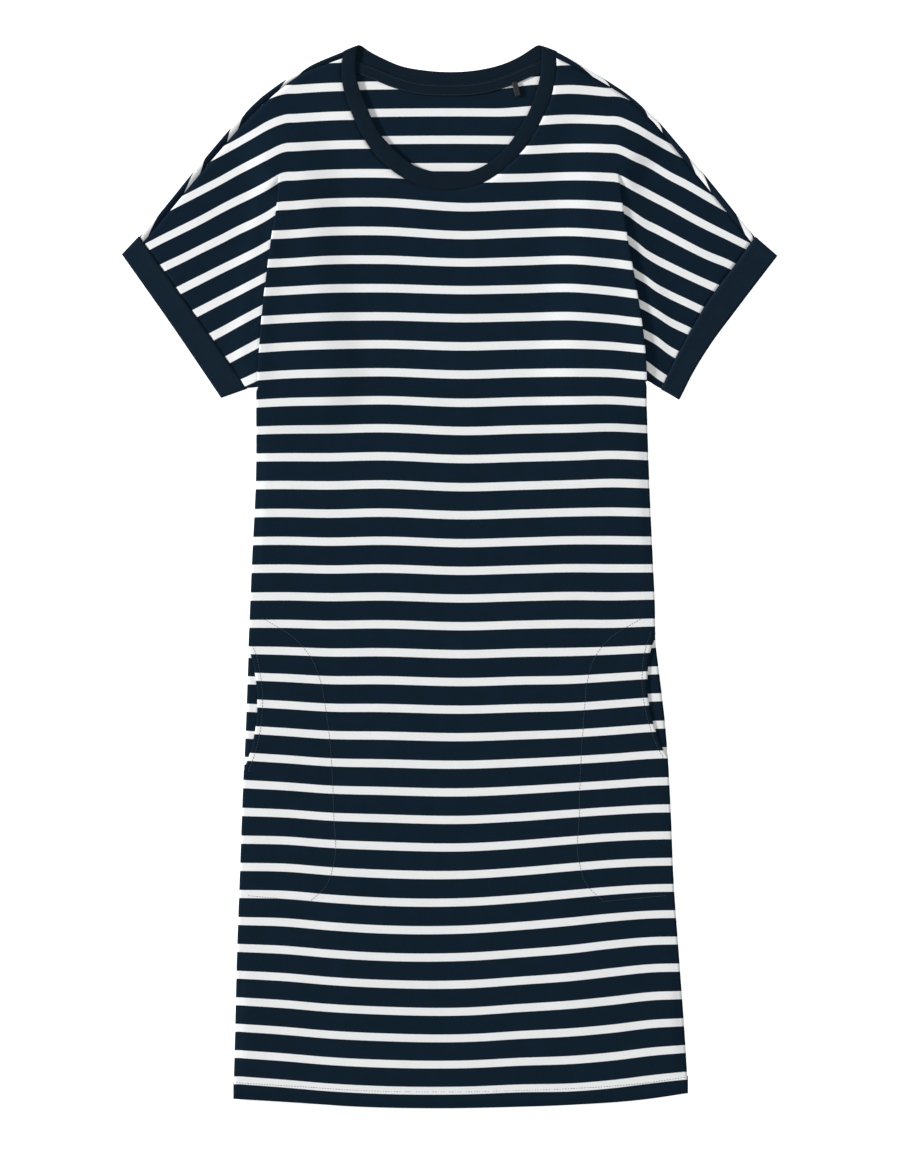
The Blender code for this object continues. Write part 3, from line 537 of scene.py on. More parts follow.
class Heights:
    """Heights of the middle of the cloth over the plan."""

    TUCK_MARGIN = 20.0                          # how far the cloth stays lifted round the fold
    TUCK_EASE = 48.0                            # over which the body then falls
    SLEEVE_EASE = 28.0                          # over which the sleeve does
    RELIEF = 0.6                                # share of the creases' heights
    HUMP = {Side.LEFT: 1.2, Side.RIGHT: 0.4}    # swell of the sleeve beside the fold
    EDGE_LIFT = 1.4                             # of the body at the fold's edge
    NECK_SPREAD = 40.0                          # over which the front falls from the neckband
    NECK_SEAM = 2.6                             # width of the dip at its seam
    POCKET_SPREAD = 25.0                        # over which the side rises to the pocket
    HEM_SPREAD = 60.0                           # over which the front rises to the turned hem
    SIDE_SPREAD = 11.0                          # over which the front falls to its side
    NECK_PUCKER = 0.13                          # height of the small gathers beside the neckband
    SEAM_PUCKER = 0.12                          # and beside the hem's stitches and the cuff's seam
    STITCH_DENT = 0.22                          # depth of the hem's line of stitches
    CUFF_DENT = 0.45                            # and of the sleeve at the cuff's seam

    @staticmethod
    def relief(points: Points) -> Points:
        """Add up the creases and the slow waves of cloth that was smoothed by hand."""
        height = np.zeros(len(points))
        for x0, y0, x1, y1, width, depth in CREASES:
            start = np.array((x0, y0))
            run = np.array((x1 - x0, y1 - y0))
            along = (points - start) @ run / (run @ run)
            clipped = np.clip(along, 0.0, 1.0)
            off = np.linalg.norm(points - start - clipped[:, None] * run, axis=1) / width
            fade = np.sin(math.pi * np.clip(0.08 + 0.84 * clipped, 0.0, 1.0))
            height += depth * fade * np.exp(-off * off)
        x, y = points[:, 0], points[:, 1]
        height += 0.10 * np.sin(x / 31.0 + 1.3 * np.sin(y / 74.0)) * np.sin(y / 53.0 + 0.6)
        height += 0.06 * np.sin(x / 17.0 - y / 39.0 + 0.8)
        return Heights.RELIEF * height

    @staticmethod
    def body(points: Points, layer: Layer) -> Points:
        """Give the body's height.

        Args:
            points: places on the plan.
            layer: front or back.

        Returns:
            The height of the middle of the cloth at each place.
        """
        if layer is Layer.BACK:
            return np.full(len(points), BACK_Z)
        x, y = points[:, 0], points[:, 1]
        gaps = np.linalg.norm(points[:, None, :] - CUT.neck_samples[None, :, :], axis=2)
        neck = gaps.min(axis=1)
        z = FRONT_Z + (NECK_Z - FRONT_Z) * (1.0 - ease(neck / Heights.NECK_SPREAD))
        z -= 1.0 - ease(neck / Heights.NECK_SEAM)
        z += Heights.relief(points) * ease(neck / 14.0)
        angle = np.arctan2(y - 500.0, x)
        z += Heights.NECK_PUCKER * np.sin(58.0 * angle) * swell(neck, 4.0, 4.0)
        for side in Side:
            own = (x < 0.0) == (side is Side.LEFT)
            edge = np.abs(CUT.side_x[side](y) - x)
            over_pocket = ease((POCKET_TOP + 70.0 - y) / Heights.POCKET_SPREAD)
            over_pocket = over_pocket * ease((y - POCKET_BOTTOM + 90.0) / Heights.POCKET_SPREAD)
            hem = 1.0 - ease((y - CUT.hem_corner[side]) / Heights.HEM_SPREAD)
            rim = EDGE_Z + (MOUTH_Z - EDGE_Z) * over_pocket
            rim = rim + (HEM_FRONT_Z - rim) * hem
            lifted = z + (HEM_FRONT_Z - z) * hem
            below = y < CUT.tuck[side](1.0)[1] + 1.0
            inset = np.where(below, edge, 99.0)
            lifted = lifted + (rim - lifted) * (1.0 - ease(inset / Heights.SIDE_SPREAD))
            far = CUT.wedge_distance(points, side)
            tuck = 1.0 - ease((far - Heights.TUCK_MARGIN) / Heights.TUCK_EASE)
            lifted = lifted + (TUCK_FRONT_Z - lifted) * tuck
            pivot = CUT.tuck[side](0.0)
            fold = np.abs(x - CUT.fold_x(side, y))
            down = ease((pivot[1] - y) / 90.0) * ease((y - CUT.tuck[side](1.0)[1] + 12.0) / 24.0)
            lifted = lifted + Heights.EDGE_LIFT * down * swell(fold, 0.0, 12.0)
            z = np.where(own, lifted, z)
        hem_gap = y - CUT.hem_y(x)
        z += Heights.SEAM_PUCKER * np.sin(x / 1.55 + 1.7 * np.sin(x / 23.0)) * swell(hem_gap, HEM_STITCH, 5.0)
        return z - Heights.STITCH_DENT * swell(hem_gap, HEM_STITCH, 1.8)

    @staticmethod
    def sleeve(points: Points, side: Side, layer: Layer) -> Points:
        """Give the sleeve's height.

        Args:
            points: places on the plan.
            side: left or right.
            layer: front or back.

        Returns:
            The height of the middle of the cloth at each place.
        """
        pivot = CUT.tuck[side](0.0)
        down = ease((pivot[1] - points[:, 1]) / 14.0)
        tuck = down * (1.0 - ease(CUT.wedge_distance(points, side) / Heights.SLEEVE_EASE))
        if layer is Layer.BACK:
            return BACK_Z + (TUCK_BACK_Z - BACK_Z) * tuck
        z = SLEEVE_Z + (TUCK_SLEEVE_Z - SLEEVE_Z) * tuck
        seam = CUT.cuff_seam[side]
        gap = CUT.cuff_gap(points, side)
        along = (points - seam(0.0)) @ unit(seam(1.0) - seam(0.0))
        z = z + Heights.relief(points) * ease(gap / 12.0)
        out = side.value * (points[:, 0] - CUT.fold_x(side, points[:, 1]))
        z += Heights.HUMP[side] * down * swell(out, 20.0, 9.0) * ease(gap / 20.0)
        z += Heights.SEAM_PUCKER * np.sin(along / 1.5 + np.sin(along / 19.0)) * swell(gap, 3.5, 3.5)
        return z - Heights.CUFF_DENT * (1.0 - ease(gap / 2.0))


class Stripes:
    """Where each point of the cloth lies in the stripes, counted in repeats."""

    @staticmethod
    def body(points: Points, layer: Layer) -> Points:
        """Count the body's stripes down from the start.

        Args:
            points: places on the plan.
            layer: front or back.

        Returns:
            The count at each place, whole at the middle of a white stripe.
        """
        x, y = points[:, 0], points[:, 1]
        if layer is Layer.BACK:
            depth, start, width = BACK_STRIPE_FALL
            fall = 4.0 * (x / 200.0) ** 2 + depth * ease((np.abs(x) - start) / width)
            height, start, width = BACK_STRIPE_RISE
            rise = height * ease((x - start) / width) * (1.0 - ease((x - 110.0) / 30.0))
            level = y + fall - rise * ease((y - 465.0) / 50.0)
            return (BACK_STRIPE_START - level) / BACK_STRIPE_REPEAT
        level = y + CUT.sag(x, y)
        press = np.maximum(PRESS_START - level, 0.0)
        return (STRIPE_START - level + PRESS * press * press) / STRIPE_REPEAT

    @staticmethod
    def sleeve(points: Points, side: Side, layer: Layer) -> Points:
        """Count the sleeve's stripes, turned with the sleeve.

        Args:
            points: places on the plan.
            side: left or right.
            layer: front or back.

        Returns:
            The count at each place, whole at the middle of a white stripe.
        """
        lay = SLEEVE_STRIPES[side]
        fall = math.radians(lay.slope)
        normal = np.array((side.value * math.sin(fall), math.cos(fall)))
        count = -((points - np.array((lay.across, lay.height))) @ normal) / lay.repeat
        if layer is Layer.BACK:
            return count + lay.back_shift + np.interp(np.abs(points[:, 0]), *zip(*lay.back_drift))
        return count - CUT.drift[side](np.abs(points[:, 0]), count)


def tuck_section(sweep: float, run: float, steps: int) -> list[tuple[float, float]]:
    """Step through a fold: a turn under, a run back and a turn out.

    Args:
        sweep: how far each turn goes, in radians.
        run: length between the turns.
        steps: faces round each turn.

    Returns:
        Distance outward and downward of each point.
    """
    points = []
    for k in range(steps + 1):
        a = sweep * k / steps
        points.append((FOLD_RADIUS * math.sin(a), FOLD_RADIUS * (1.0 - math.cos(a))))
    out, drop = points[-1]
    points.append((out + 0.5 * run * math.cos(sweep), drop + 0.5 * run * math.sin(sweep)))
    out += run * math.cos(sweep)
    drop += run * math.sin(sweep)
    for k in range(steps + 1):
        a = sweep * (1.0 - k / steps)
        points.append((
            out + FOLD_RADIUS * (math.sin(sweep) - math.sin(a)),
            drop + FOLD_RADIUS * (math.cos(a) - math.cos(sweep)),
        ))
    return points


def add_node(tree: bpy.types.NodeTree, kind: str, links: dict | None = None, **settings) -> bpy.types.Node:
    """Add one node to a tree.

    Args:
        tree: shader or geometry tree.
        kind: the node's type.
        links: input name or number to a socket to link, or a value to set.
        settings: properties of the node.

    Returns:
        The new node.
    """
    node = tree.nodes.new(kind)
    for name, value in settings.items():
        setattr(node, name, value)
    for name, value in (links or {}).items():
        if isinstance(value, bpy.types.NodeSocket):
            tree.links.new(value, node.inputs[name])
        else:
            node.inputs[name].default_value = value
    return node


def arithmetic(tree: bpy.types.NodeTree, operation: str, *values: object) -> bpy.types.NodeSocket:
    """Add one step of arithmetic on sockets or numbers and give its result."""
    return add_node(tree, "ShaderNodeMath", dict(enumerate(values)), operation=operation).outputs[0]


def blend(tree: bpy.types.NodeTree, share: object, first: object, second: object) -> bpy.types.NodeSocket:
    """Mix two colours by a share from 0 to 1 of the second."""
    return add_node(tree, "ShaderNodeMix", {0: share, 6: first, 7: second}, data_type="RGBA").outputs[2]


def put(name: str, data: bpy.types.ID) -> bpy.types.Object:
    """Put new data in the scene as an object."""
    item = bpy.data.objects.new(name, data)
    bpy.context.scene.collection.objects.link(item)
    return item


def linear(code: str) -> tuple[float, float, float, float]:
    """Turn an sRGB hex colour into linear red, green, blue and 1."""
    parts = [int(code[k:k + 2], 16) / 255.0 for k in (1, 3, 5)]
    parts = [c / 12.92 if c <= 0.04045 else ((c + 0.055) / 1.055) ** 2.4 for c in parts]
    return (*parts, 1.0)


class Finish:
    """A material in the making, on Blender's standard shader."""

    def __init__(self, name: str, **inputs: object) -> None:
        """Start the material.

        Args:
            name: the material's name.
            inputs: values of the shader's inputs, each named with _ for a space.
        """
        self.material = bpy.data.materials.new(name)
        self.material.use_nodes = True
        self.tree = self.material.node_tree
        self.shader = self.tree.nodes["Principled BSDF"]
        for key, value in inputs.items():
            self.shader.inputs[key.replace("_", " ")].default_value = value

    def colour(self, socket: bpy.types.NodeSocket) -> None:
        """Take the colour from a socket."""
        self.tree.links.new(socket, self.shader.inputs["Base Color"])

    def bump(self, height: bpy.types.NodeSocket, strength: float, depth: float) -> None:
        """Raise the surface where the height is high, by up to the depth."""
        values = {"Height": height, "Strength": strength, "Distance": depth * MM}
        bump = add_node(self.tree, "ShaderNodeBump", values)
        self.tree.links.new(bump.outputs[0], self.shader.inputs["Normal"])


@dataclass(frozen=True)
class Jersey:
    """Single-knit combed cotton: matt, soft, with a faint fuzz at a glancing light.

    Attributes:
        name: the material's name.
        ground: colour of the cloth.
        stripe: colour of the stripes, or nothing.
        roughness: of the yarn.
        wale: width of one column of stitches, drawn coarser than the real 0.8 mm.
        course: height of one row of stitches.
        mottle: size of the cloth's slow changes of tone.
        grain: size of its fine ones.
        ragged: how far a stripe's edge wanders, in repeats.
    """

    name: str
    ground: str
    stripe: str | None = None
    roughness: float = 0.86
    wale: float = 1.5
    course: float = 1.2
    mottle: float = 21.74
    grain: float = 1.111
    ragged: float = 0.014

    def build(self) -> bpy.types.Material:
        """Make the material, which reads the piece's cloth map in stripe repeats."""
        finish = Finish(
            self.name,
            Roughness=self.roughness, Sheen_Weight=0.015, Sheen_Roughness=0.5, Specular_IOR_Level=0.07,
        )
        tree = finish.tree
        cloth = add_node(tree, "ShaderNodeUVMap", uv_map="cloth").outputs[0]
        place = add_node(tree, "ShaderNodeTexCoord").outputs["Object"]
        across, down = add_node(tree, "ShaderNodeSeparateXYZ", {0: cloth}).outputs[:2]
        mottle, grain = (
            add_node(
                tree, "ShaderNodeTexNoise", {"Vector": place, "Scale": 1.0 / (size * MM), "Detail": detail},
            ).outputs[0]
            for size, detail in ((self.mottle, 4.0), (self.grain, 2.0))
        )
        tone = arithmetic(tree, "ADD", mottle, grain)
        colour = self._shade(tree, self.ground, tone, 0.10)
        if self.stripe:
            white = self._shade(tree, self.stripe, tone, 0.03)
            colour = blend(tree, self._band(tree, down, grain), colour, white)
        finish.colour(colour)
        columns = arithmetic(tree, "MULTIPLY", across, STRIPE_REPEAT / self.wale)
        pinch = arithmetic(tree, "PINGPONG", columns, 0.5)
        rows = arithmetic(tree, "MULTIPLY_ADD", down, STRIPE_REPEAT / self.course, pinch)
        wave = arithmetic(tree, "SINE", arithmetic(tree, "MULTIPLY", rows, 2.0 * math.pi))
        finish.bump(arithmetic(tree, "MULTIPLY_ADD", grain, 1.4, wave), 0.22, 0.25)
        return finish.material

    @staticmethod
    def _shade(
        tree: bpy.types.NodeTree, code: str, tone: bpy.types.NodeSocket, depth: float,
    ) -> bpy.types.NodeSocket:
        """Vary one colour by the tone, up to the depth each way."""
        factor = add_node(
            tree, "ShaderNodeMapRange",
            {"Value": tone, "From Min": 0.6, "From Max": 1.4, "To Min": 1.0 - depth, "To Max": 1.0 + depth},
        ).outputs[0]
        colour = {0: linear(code)[:3], "Scale": factor}
        return add_node(tree, "ShaderNodeVectorMath", colour, operation="SCALE").outputs[0]

    def _band(
        self, tree: bpy.types.NodeTree, down: bpy.types.NodeSocket, grain: bpy.types.NodeSocket,
    ) -> bpy.types.NodeSocket:
        """Give 1 inside a stripe and 0 outside, with the ragged edge of knitting."""
        ragged = arithmetic(tree, "MULTIPLY_ADD", grain, self.ragged, down)
        part = arithmetic(tree, "FRACT", arithmetic(tree, "ADD", ragged, 0.5 - 0.5 * self.ragged))
        away = arithmetic(tree, "ABSOLUTE", arithmetic(tree, "SUBTRACT", part, 0.5))
        edge, soft = 0.5 * WHITE_SHARE, 0.008
        return add_node(
            tree, "ShaderNodeMapRange",
            {"Value": away, "From Min": edge + soft, "From Max": edge - soft, "To Min": 0.0, "To Max": 1.0},
        ).outputs[0]


@dataclass(frozen=True)
class Yarn:
    """Spun polyester sewing thread: a dull sheen on fine round stitches.

    Attributes:
        name: the material's name.
        colour: of the thread.
        dip: painted shade between the strands, the darker colour in the twist's grooves.
        roughness: of the thread.
        twist: size of its twist.
    """

    name: str
    colour: str
    # painted shade: the darker colour laid in the grooves between the strands
    dip: str = "#27323B"
    roughness: float = 0.6
    twist: float = 1.43

    def build(self) -> bpy.types.Material:
        """Make the material, twisted by a fine wave, with painted shade in the twist's grooves."""
        finish = Finish(self.name, Roughness=self.roughness, Sheen_Weight=0.1)
        tree = finish.tree
        place = add_node(tree, "ShaderNodeTexCoord").outputs["Object"]
        values = {"Vector": place, "Scale": 1.0 / (self.twist * MM), "Distortion": 2.0}
        twist = add_node(tree, "ShaderNodeTexWave", values, bands_direction="DIAGONAL").outputs[1]
        # the dip colour is painted shade, darker in the grooves between the strands
        finish.colour(blend(tree, twist, linear(self.colour), linear(self.dip)))
        finish.bump(twist, 0.3, 0.1)
        return finish.material


@dataclass(frozen=True)
class WovenTape:
    """Ribbed polyester tape: close crosswise ribs with a slight gloss.

    Attributes:
        name: the material's name.
        colour: of the tape.
        crest: painted highlight, the lighter colour on the ribs' tops.
        rib: size of one rib.
    """

    name: str
    colour: str
    # painted highlight: the lighter colour laid on the tops of the ribs
    crest: str = "#15191D"
    rib: float = 0.9

    def build(self) -> bpy.types.Material:
        """Make the material with its ribs as bump and a painted highlight on their tops."""
        finish = Finish(self.name, Roughness=0.55)
        tree = finish.tree
        place = add_node(tree, "ShaderNodeTexCoord").outputs["Object"]
        values = {"Vector": place, "Scale": 1.0 / (2.0 * math.pi * self.rib * MM)}
        ribs = add_node(tree, "ShaderNodeTexWave", values, bands_direction="Y").outputs[1]
        # the crest colour is a painted highlight on the ribs' tops
        finish.colour(blend(tree, ribs, linear(self.colour), linear(self.crest)))
        finish.bump(ribs, 0.4, 0.2)
        return finish.material


def cloth_mesh(
    name: str, grids: Sequence[Grid], material: bpy.types.Material, closed: bool = False,
) -> bpy.types.Object:
    """Make one surface from grids that share their edges, with the cloth map on it.

    Args:
        name: the piece's name.
        grids: rows of x, y, z in mm and the cloth map's u and v.
        material: its finish.
        closed: whether each row joins its own end.

    Returns:
        The new object, without thickness.
    """
    mesh = bpy.data.meshes.new(name)
    shape = bmesh.new()
    layer = shape.loops.layers.uv.new("cloth")
    for rows in grids:
        width = len(rows[0])
        table = np.array(rows)
        verts = [[shape.verts.new(p[:3] * MM) for p in row] for row in table]
        for i in range(len(rows) - 1):
            for k in range(width if closed else width - 1):
                n = (k + 1) % width
                corners = ((i, k), (i, n), (i + 1, n), (i + 1, k))
                face = shape.faces.new([verts[a][b] for a, b in corners])
                face.smooth = True
                for loop, (a, b) in zip(face.loops, corners):
                    loop[layer].uv = table[a, b, 3:5]
    bmesh.ops.remove_doubles(shape, verts=shape.verts, dist=0.00002)
    bmesh.ops.recalc_face_normals(shape, faces=shape.faces)
    shape.to_mesh(mesh)
    shape.free()
    mesh.materials.append(material)
    return put(name, mesh)


def thicken(piece: bpy.types.Object, wall: float) -> None:
    """Give the cloth its thickness, half to each side."""
    solid = piece.modifiers.new("wall", "SOLIDIFY")
    solid.thickness = wall * MM
    solid.offset = 0.0
    solid.use_even_offset = True
    solid.use_quality_normals = True


def hand_over(piece: bpy.types.Object, node: str | None) -> None:
    """Tell the frame what the piece rides on and replaces."""
    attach(piece, "root")
    if node:
        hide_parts(node)
    LOG.info("%s: %d faces", piece.name, len(piece.data.polygons))


@dataclass
class Panel:
    """Front or back, cut in one with its half of each sleeve.

    Attributes:
        layer: front or back.
        material: striped jersey.
        sleeve_cols: faces from the fold to the cuff.
        body_cols: faces across half the body.
        shoulder_rows: faces from the shoulder seam to the top of the fold.
        tuck_rows: faces down the fold.
        lower_rows: faces from underarm to hem.
        turn_steps: faces round a fold.
        col_power: crowds the columns at the side.
        tuck_share: share of the sleeve's rows above the fold.
    """

    layer: Layer
    material: bpy.types.Material
    sleeve_cols: int = 34
    body_cols: int = 46
    shoulder_rows: int = 16
    tuck_rows: int = 44
    lower_rows: int = 150
    turn_steps: int = 6
    col_power: float = 1.15
    tuck_share: float = 0.25

    @property
    def fold_points(self) -> int:
        """Count the points across the fold, a middle one and two turns."""
        return 2 * self.turn_steps + 3

    def neck_end(self, side: Side, u: float) -> Points:
        """Find the panel's edge at the neckband."""
        along = CUT.neckline[self.layer, side]
        t = NECK_START[self.layer] + (1.0 - NECK_START[self.layer]) * u
        away = seam_normal(along, t) * -side.value if u < 1.0 else np.array((0.0, -1.0))
        return along(t) + away * (SEAM_GAP if self.layer is Layer.BACK else -NECK_TUCK)

    def cuff_end(self, side: Side, u: float) -> Points:
        """Find the panel's edge at the cuff."""
        seam = CUT.cuff_seam[side]
        t = CUFF_START + (1.0 - CUFF_START) * u
        reach = SEAM_GAP if self.layer is Layer.BACK else -CUFF_TUCK
        return seam(t) + seam_normal(seam, t) * side.value * reach

    def fold(self, side: Side, rise: float, fall: float, along: Points) -> tuple[Points, Points]:
        """Lay the underarm fold's section in one row, or flat cloth above it.

        Args:
            side: left or right.
            rise: share of the way up from the fold's beginning to the shoulder.
            fall: distance down the fold.
            along: the row's direction where the cloth is flat.

        Returns:
            Places on the plan and heights, from the body to the sleeve.
        """
        edge, inner = CUT.tuck_lines(side, fall / CUT.tuck_length[side])
        if self.layer is Layer.BACK:
            edge = edge - np.array((side.value * FOLD_BACK_INSET, 0.0))
        if fall < 1.0:
            pivot = CUT.tuck[side](0.0)
            start = pivot + (CUT.shoulder[side](SHOULDER_SPLIT) - pivot) * rise if rise > 0.0 else edge
            away = along
            section = [(FLAT_STEP * (k - self.turn_steps - 1), 0.0) for k in range(self.fold_points)]
        else:
            away = unit(edge - inner)
            sweep = math.pi * min(fall / FOLD_SHUT, 1.0) ** FOLD_HASTE
            run = max(float(np.linalg.norm(edge - inner)) - 2.0 * FOLD_RADIUS, 0.0) if sweep > 3.1 else 0.0
            section = tuck_section(sweep, run, self.turn_steps)
            start = edge - away * FOLD_RADIUS * math.sin(min(sweep, math.pi / 2.0))
        level = float(Heights.body(start[None, :], self.layer)[0])
        flip = 1.0 if self.layer is Layer.BACK else -1.0
        plan = np.array([start + away * out for out, _ in section])
        return plan, np.array([level + flip * drop for _, drop in section])

    @staticmethod
    def stretch(side: Side, ends: tuple[Points, Points], share: Points, tip: float, rise: float) -> Points:
        """Lay cloth from the fold to an edge, bowed like the shoulder seam where it is near.

        Args:
            side: left or right.
            ends: places at the fold and at the edge.
            share: how far between them each point is.
            tip: the shoulder seam's end on this stretch, 0 at the neck and 1 at the cuff.
            rise: share of the way up from the fold's beginning to the shoulder.

        Returns:
            Places on the plan.
        """
        curve = CUT.shoulder[side]
        split = curve(SHOULDER_SPLIT)
        bow = curve(SHOULDER_SPLIT + (tip - SHOULDER_SPLIT) * share) - split
        bow -= (curve(tip) - split) * share[:, None]
        return ends[0] + (ends[1] - ends[0]) * share[:, None] + bow * rise ** 2

    def half_row(self, side: Side, u: float, rise: float, fall: float) -> Points:
        """Lay one row of half a panel, from the cuff to the neckline.

        Args:
            side: left or right.
            u: share of the way down the cuff and the neckline.
            rise: share of the way up from the fold's beginning to the shoulder.
            fall: distance down the fold.

        Returns:
            Rows of x, y, z, u, v.
        """
        neck, cuff = self.neck_end(side, u), self.cuff_end(side, u)
        fold, fold_z = self.fold(side, rise, fall, unit(cuff - neck))
        s = (np.arange(self.body_cols, 0, -1) / self.body_cols) ** self.col_power
        body = self.stretch(side, (fold[0], neck), s, 0.0, rise)
        s = np.arange(1, self.sleeve_cols + 1) / self.sleeve_cols
        sleeve = self.stretch(side, (fold[-1], cuff), s, 1.0, rise)
        reach = np.linalg.norm(sleeve - fold[-1], axis=1)
        arch = ease(np.linalg.norm(sleeve - cuff, axis=1) / ARCH_SPREAD[0]) * ease(reach / ARCH_SPREAD[1])
        sleeve[:, 1] += UNDERARM_RISE[side] * arch * (fall / CUT.tuck_length[side]) ** 3
        lift = fold_z[-1] - float(Heights.sleeve(fold[-1][None, :], side, self.layer)[0])
        sleeve_z = Heights.sleeve(sleeve, side, self.layer) + lift * (1.0 - ease(reach / FOLD_SPREAD))
        plan = np.concatenate([sleeve[::-1], fold[::-1], body[::-1]])
        z = np.concatenate([sleeve_z[::-1], fold_z[::-1], Heights.body(body, self.layer)[::-1]])
        return self.mapped(side, plan, z, fall)

    def mapped(self, side: Side, plan: Points, z: Points, fall: float) -> Points:
        """Give a row its place in the cloth.

        Args:
            side: left or right.
            plan: places on the plan, the sleeve's first, then the fold's and the body's.
            z: heights.
            fall: distance down the fold.

        Returns:
            Rows of x, y, z, u, v.
        """
        open_fold = float(ease(fall / STRIPES_PART))
        middle, width = BLEND[side]
        out = ease(0.5 + (side.value * plan[:, 0] - middle) / width)
        on_sleeve = np.zeros(len(plan))
        on_sleeve[:self.sleeve_cols] = 1.0
        hidden = slice(self.sleeve_cols, self.sleeve_cols + self.fold_points)
        on_sleeve[hidden] = np.clip(np.linspace(4.0, -3.0, self.fold_points), 0.0, 1.0)
        share = out * (1.0 - open_fold) + on_sleeve * open_fold
        v = (1.0 - share) * Stripes.body(plan, self.layer) + share * Stripes.sleeve(plan, side, self.layer)
        return np.column_stack([plan, z, plan[:, 0] / STRIPE_REPEAT, v])

    def upper_rows(self, side: Side) -> Grid:
        """Lay the rows of one sleeve and its half of the yoke, shoulder seam first."""
        rows = []
        for k in range(self.shoulder_rows):
            rise = 1.0 - k / self.shoulder_rows
            rows.append(self.half_row(side, self.tuck_share * (1.0 - rise), rise, 0.0))
        rows.append(self.half_row(side, self.tuck_share, 0.0, 0.0))
        length = CUT.tuck_length[side]
        falls = [FOLD_SHUT * k / 4.0 for k in (1, 2, 3)]
        falls += [FOLD_SHUT + (length - FOLD_SHUT) * k / self.tuck_rows for k in range(self.tuck_rows + 1)]
        for fall in falls:
            u = self.tuck_share + (1.0 - self.tuck_share) * fall / length
            rows.append(self.half_row(side, u, 0.0, fall))
        return rows

    def body_rows(self, first: Points) -> Grid:
        """Lay the rows below the underarms and the hem turned in under them.

        Args:
            first: the row between the underarms, left to right.

        Returns:
            The rows after it.
        """
        count = len(first)
        middle = count // 2
        k = np.arange(count)
        share = (np.minimum(k, count - 1 - k) / middle) ** self.col_power * 0.5
        share = np.where(k <= middle, share, 1.0 - share)
        trim = SIDE_TRIM[self.layer]
        straight = first[0, 0] + (first[-1, 0] - first[0, 0]) * share
        rows = []
        for f in np.arange(1, self.lower_rows + 1) / self.lower_rows:
            ends = {}
            for side, corner in ((Side.LEFT, first[0]), (Side.RIGHT, first[-1])):
                y = corner[1] + (CUT.hem_corner[side] - corner[1]) * f
                x = CUT.side_x[side](y) - side.value * trim
                if self.layer is Layer.FRONT:
                    x -= side.value * CUT.mouth_inset(side, y)
                ends[side] = float(x)
            x = ends[Side.LEFT] + (ends[Side.RIGHT] - ends[Side.LEFT]) * share
            x = x + (first[:, 0] - straight) * (1.0 - f)
            y = first[:, 1] + (CUT.hem_y(x) + trim + FOLD_RADIUS - first[:, 1]) * f
            plan = np.column_stack([x, y])
            z = Heights.body(plan, self.layer)
            v = Stripes.body(plan, self.layer)
            rows.append(np.column_stack([plan, z, x / STRIPE_REPEAT, v]))
        flip = 1.0 if self.layer is Layer.BACK else -1.0
        last = rows[-1]
        turn = tuck_section(math.pi, HEM_DEPTH, self.turn_steps)[1:self.turn_steps + 3]
        for out, drop in turn:
            row = last.copy()
            row[:, 1] -= out
            row[:, 2] += flip * drop
            row[:, 4] += 2.0 * FOLD_RADIUS / STRIPE_REPEAT
            rows.append(row)
        return rows

    def roll(self, side: Side, front: Points) -> Grid:
        """Take the back over the shoulder to the seam on the front.

        Args:
            side: left or right.
            front: the front's row at the shoulder seam.

        Returns:
            Rows from the seam round the shoulder to the back.
        """
        rows = []
        way = unit(CUT.cuff_seam[side](0.0) - CUT.cuff_seam[side](0.1))
        neckline = CUT.neckline[Layer.FRONT, side]
        neck_way = unit(neckline(0.0) - neckline(0.06))
        plan = front[:, :2]
        along = unit(np.gradient(plan, axis=0))
        outward = np.column_stack([-along[:, 1], along[:, 0]])
        outward = np.where(outward[:, 1:2] < 0.0, -outward, outward)
        turn = np.minimum(np.arange(len(plan)) / self.sleeve_cols, 1.0)[:, None]
        outward = unit(way + (outward - way) * turn)
        near = np.minimum(np.linalg.norm(plan - plan[-1], axis=1) / ROLL_TURN, 1.0)[:, None]
        outward = unit(neck_way + (outward - neck_way) * near)
        radius = 0.5 * (front[:, 2:3] - BACK_Z)
        width = np.interp(np.abs(plan[:, :1]), *zip(*SHOULDER_ROLLS[side]))
        crest = plan + outward * (width - radius - 0.5 * WALL)
        steps = 2 * self.turn_steps
        for step in range(steps + 2):
            if step <= steps:
                a = math.pi * step / steps
                spot = crest + outward * radius * math.sin(a)
                z = BACK_Z + radius * (1.0 - math.cos(a))
                beyond = radius * (a - math.sin(a))
            else:
                spot = plan + outward * SEAM_GAP
                z = front[:, 2:3]
                beyond = radius * math.pi + width - radius - SEAM_GAP
            unrolled = crest + outward * (radius * math.sin(min(step / steps, 0.5) * math.pi) + beyond)
            row = self.mapped(side, unrolled, z[:, 0], 0.0)
            row[:, :2] = spot
            rows.append(row)
        return rows[::-1]

    def build(self) -> bpy.types.Object:
        """Make the panel and hand it over."""
        left, right = self.upper_rows(Side.LEFT), self.upper_rows(Side.RIGHT)
        body = self.body_cols + 1
        first = np.concatenate([left[-1][-body:], right[-1][-body:][::-1][1:]])
        grids = [left, right, [first] + self.body_rows(first)]
        if self.layer is Layer.BACK:
            front = Panel(Layer.FRONT, self.material)
            for side, rows in ((Side.LEFT, left), (Side.RIGHT, right)):
                seam = front.half_row(side, 0.0, 1.0, 0.0)
                grids.append(self.roll(side, seam) + [rows[0]])
        name = self.layer.value + "_panel_jersey"
        piece = cloth_mesh(name, grids, self.material)
        thicken(piece, WALL)
        hand_over(piece, self.layer.value + "_panel")
        return piece


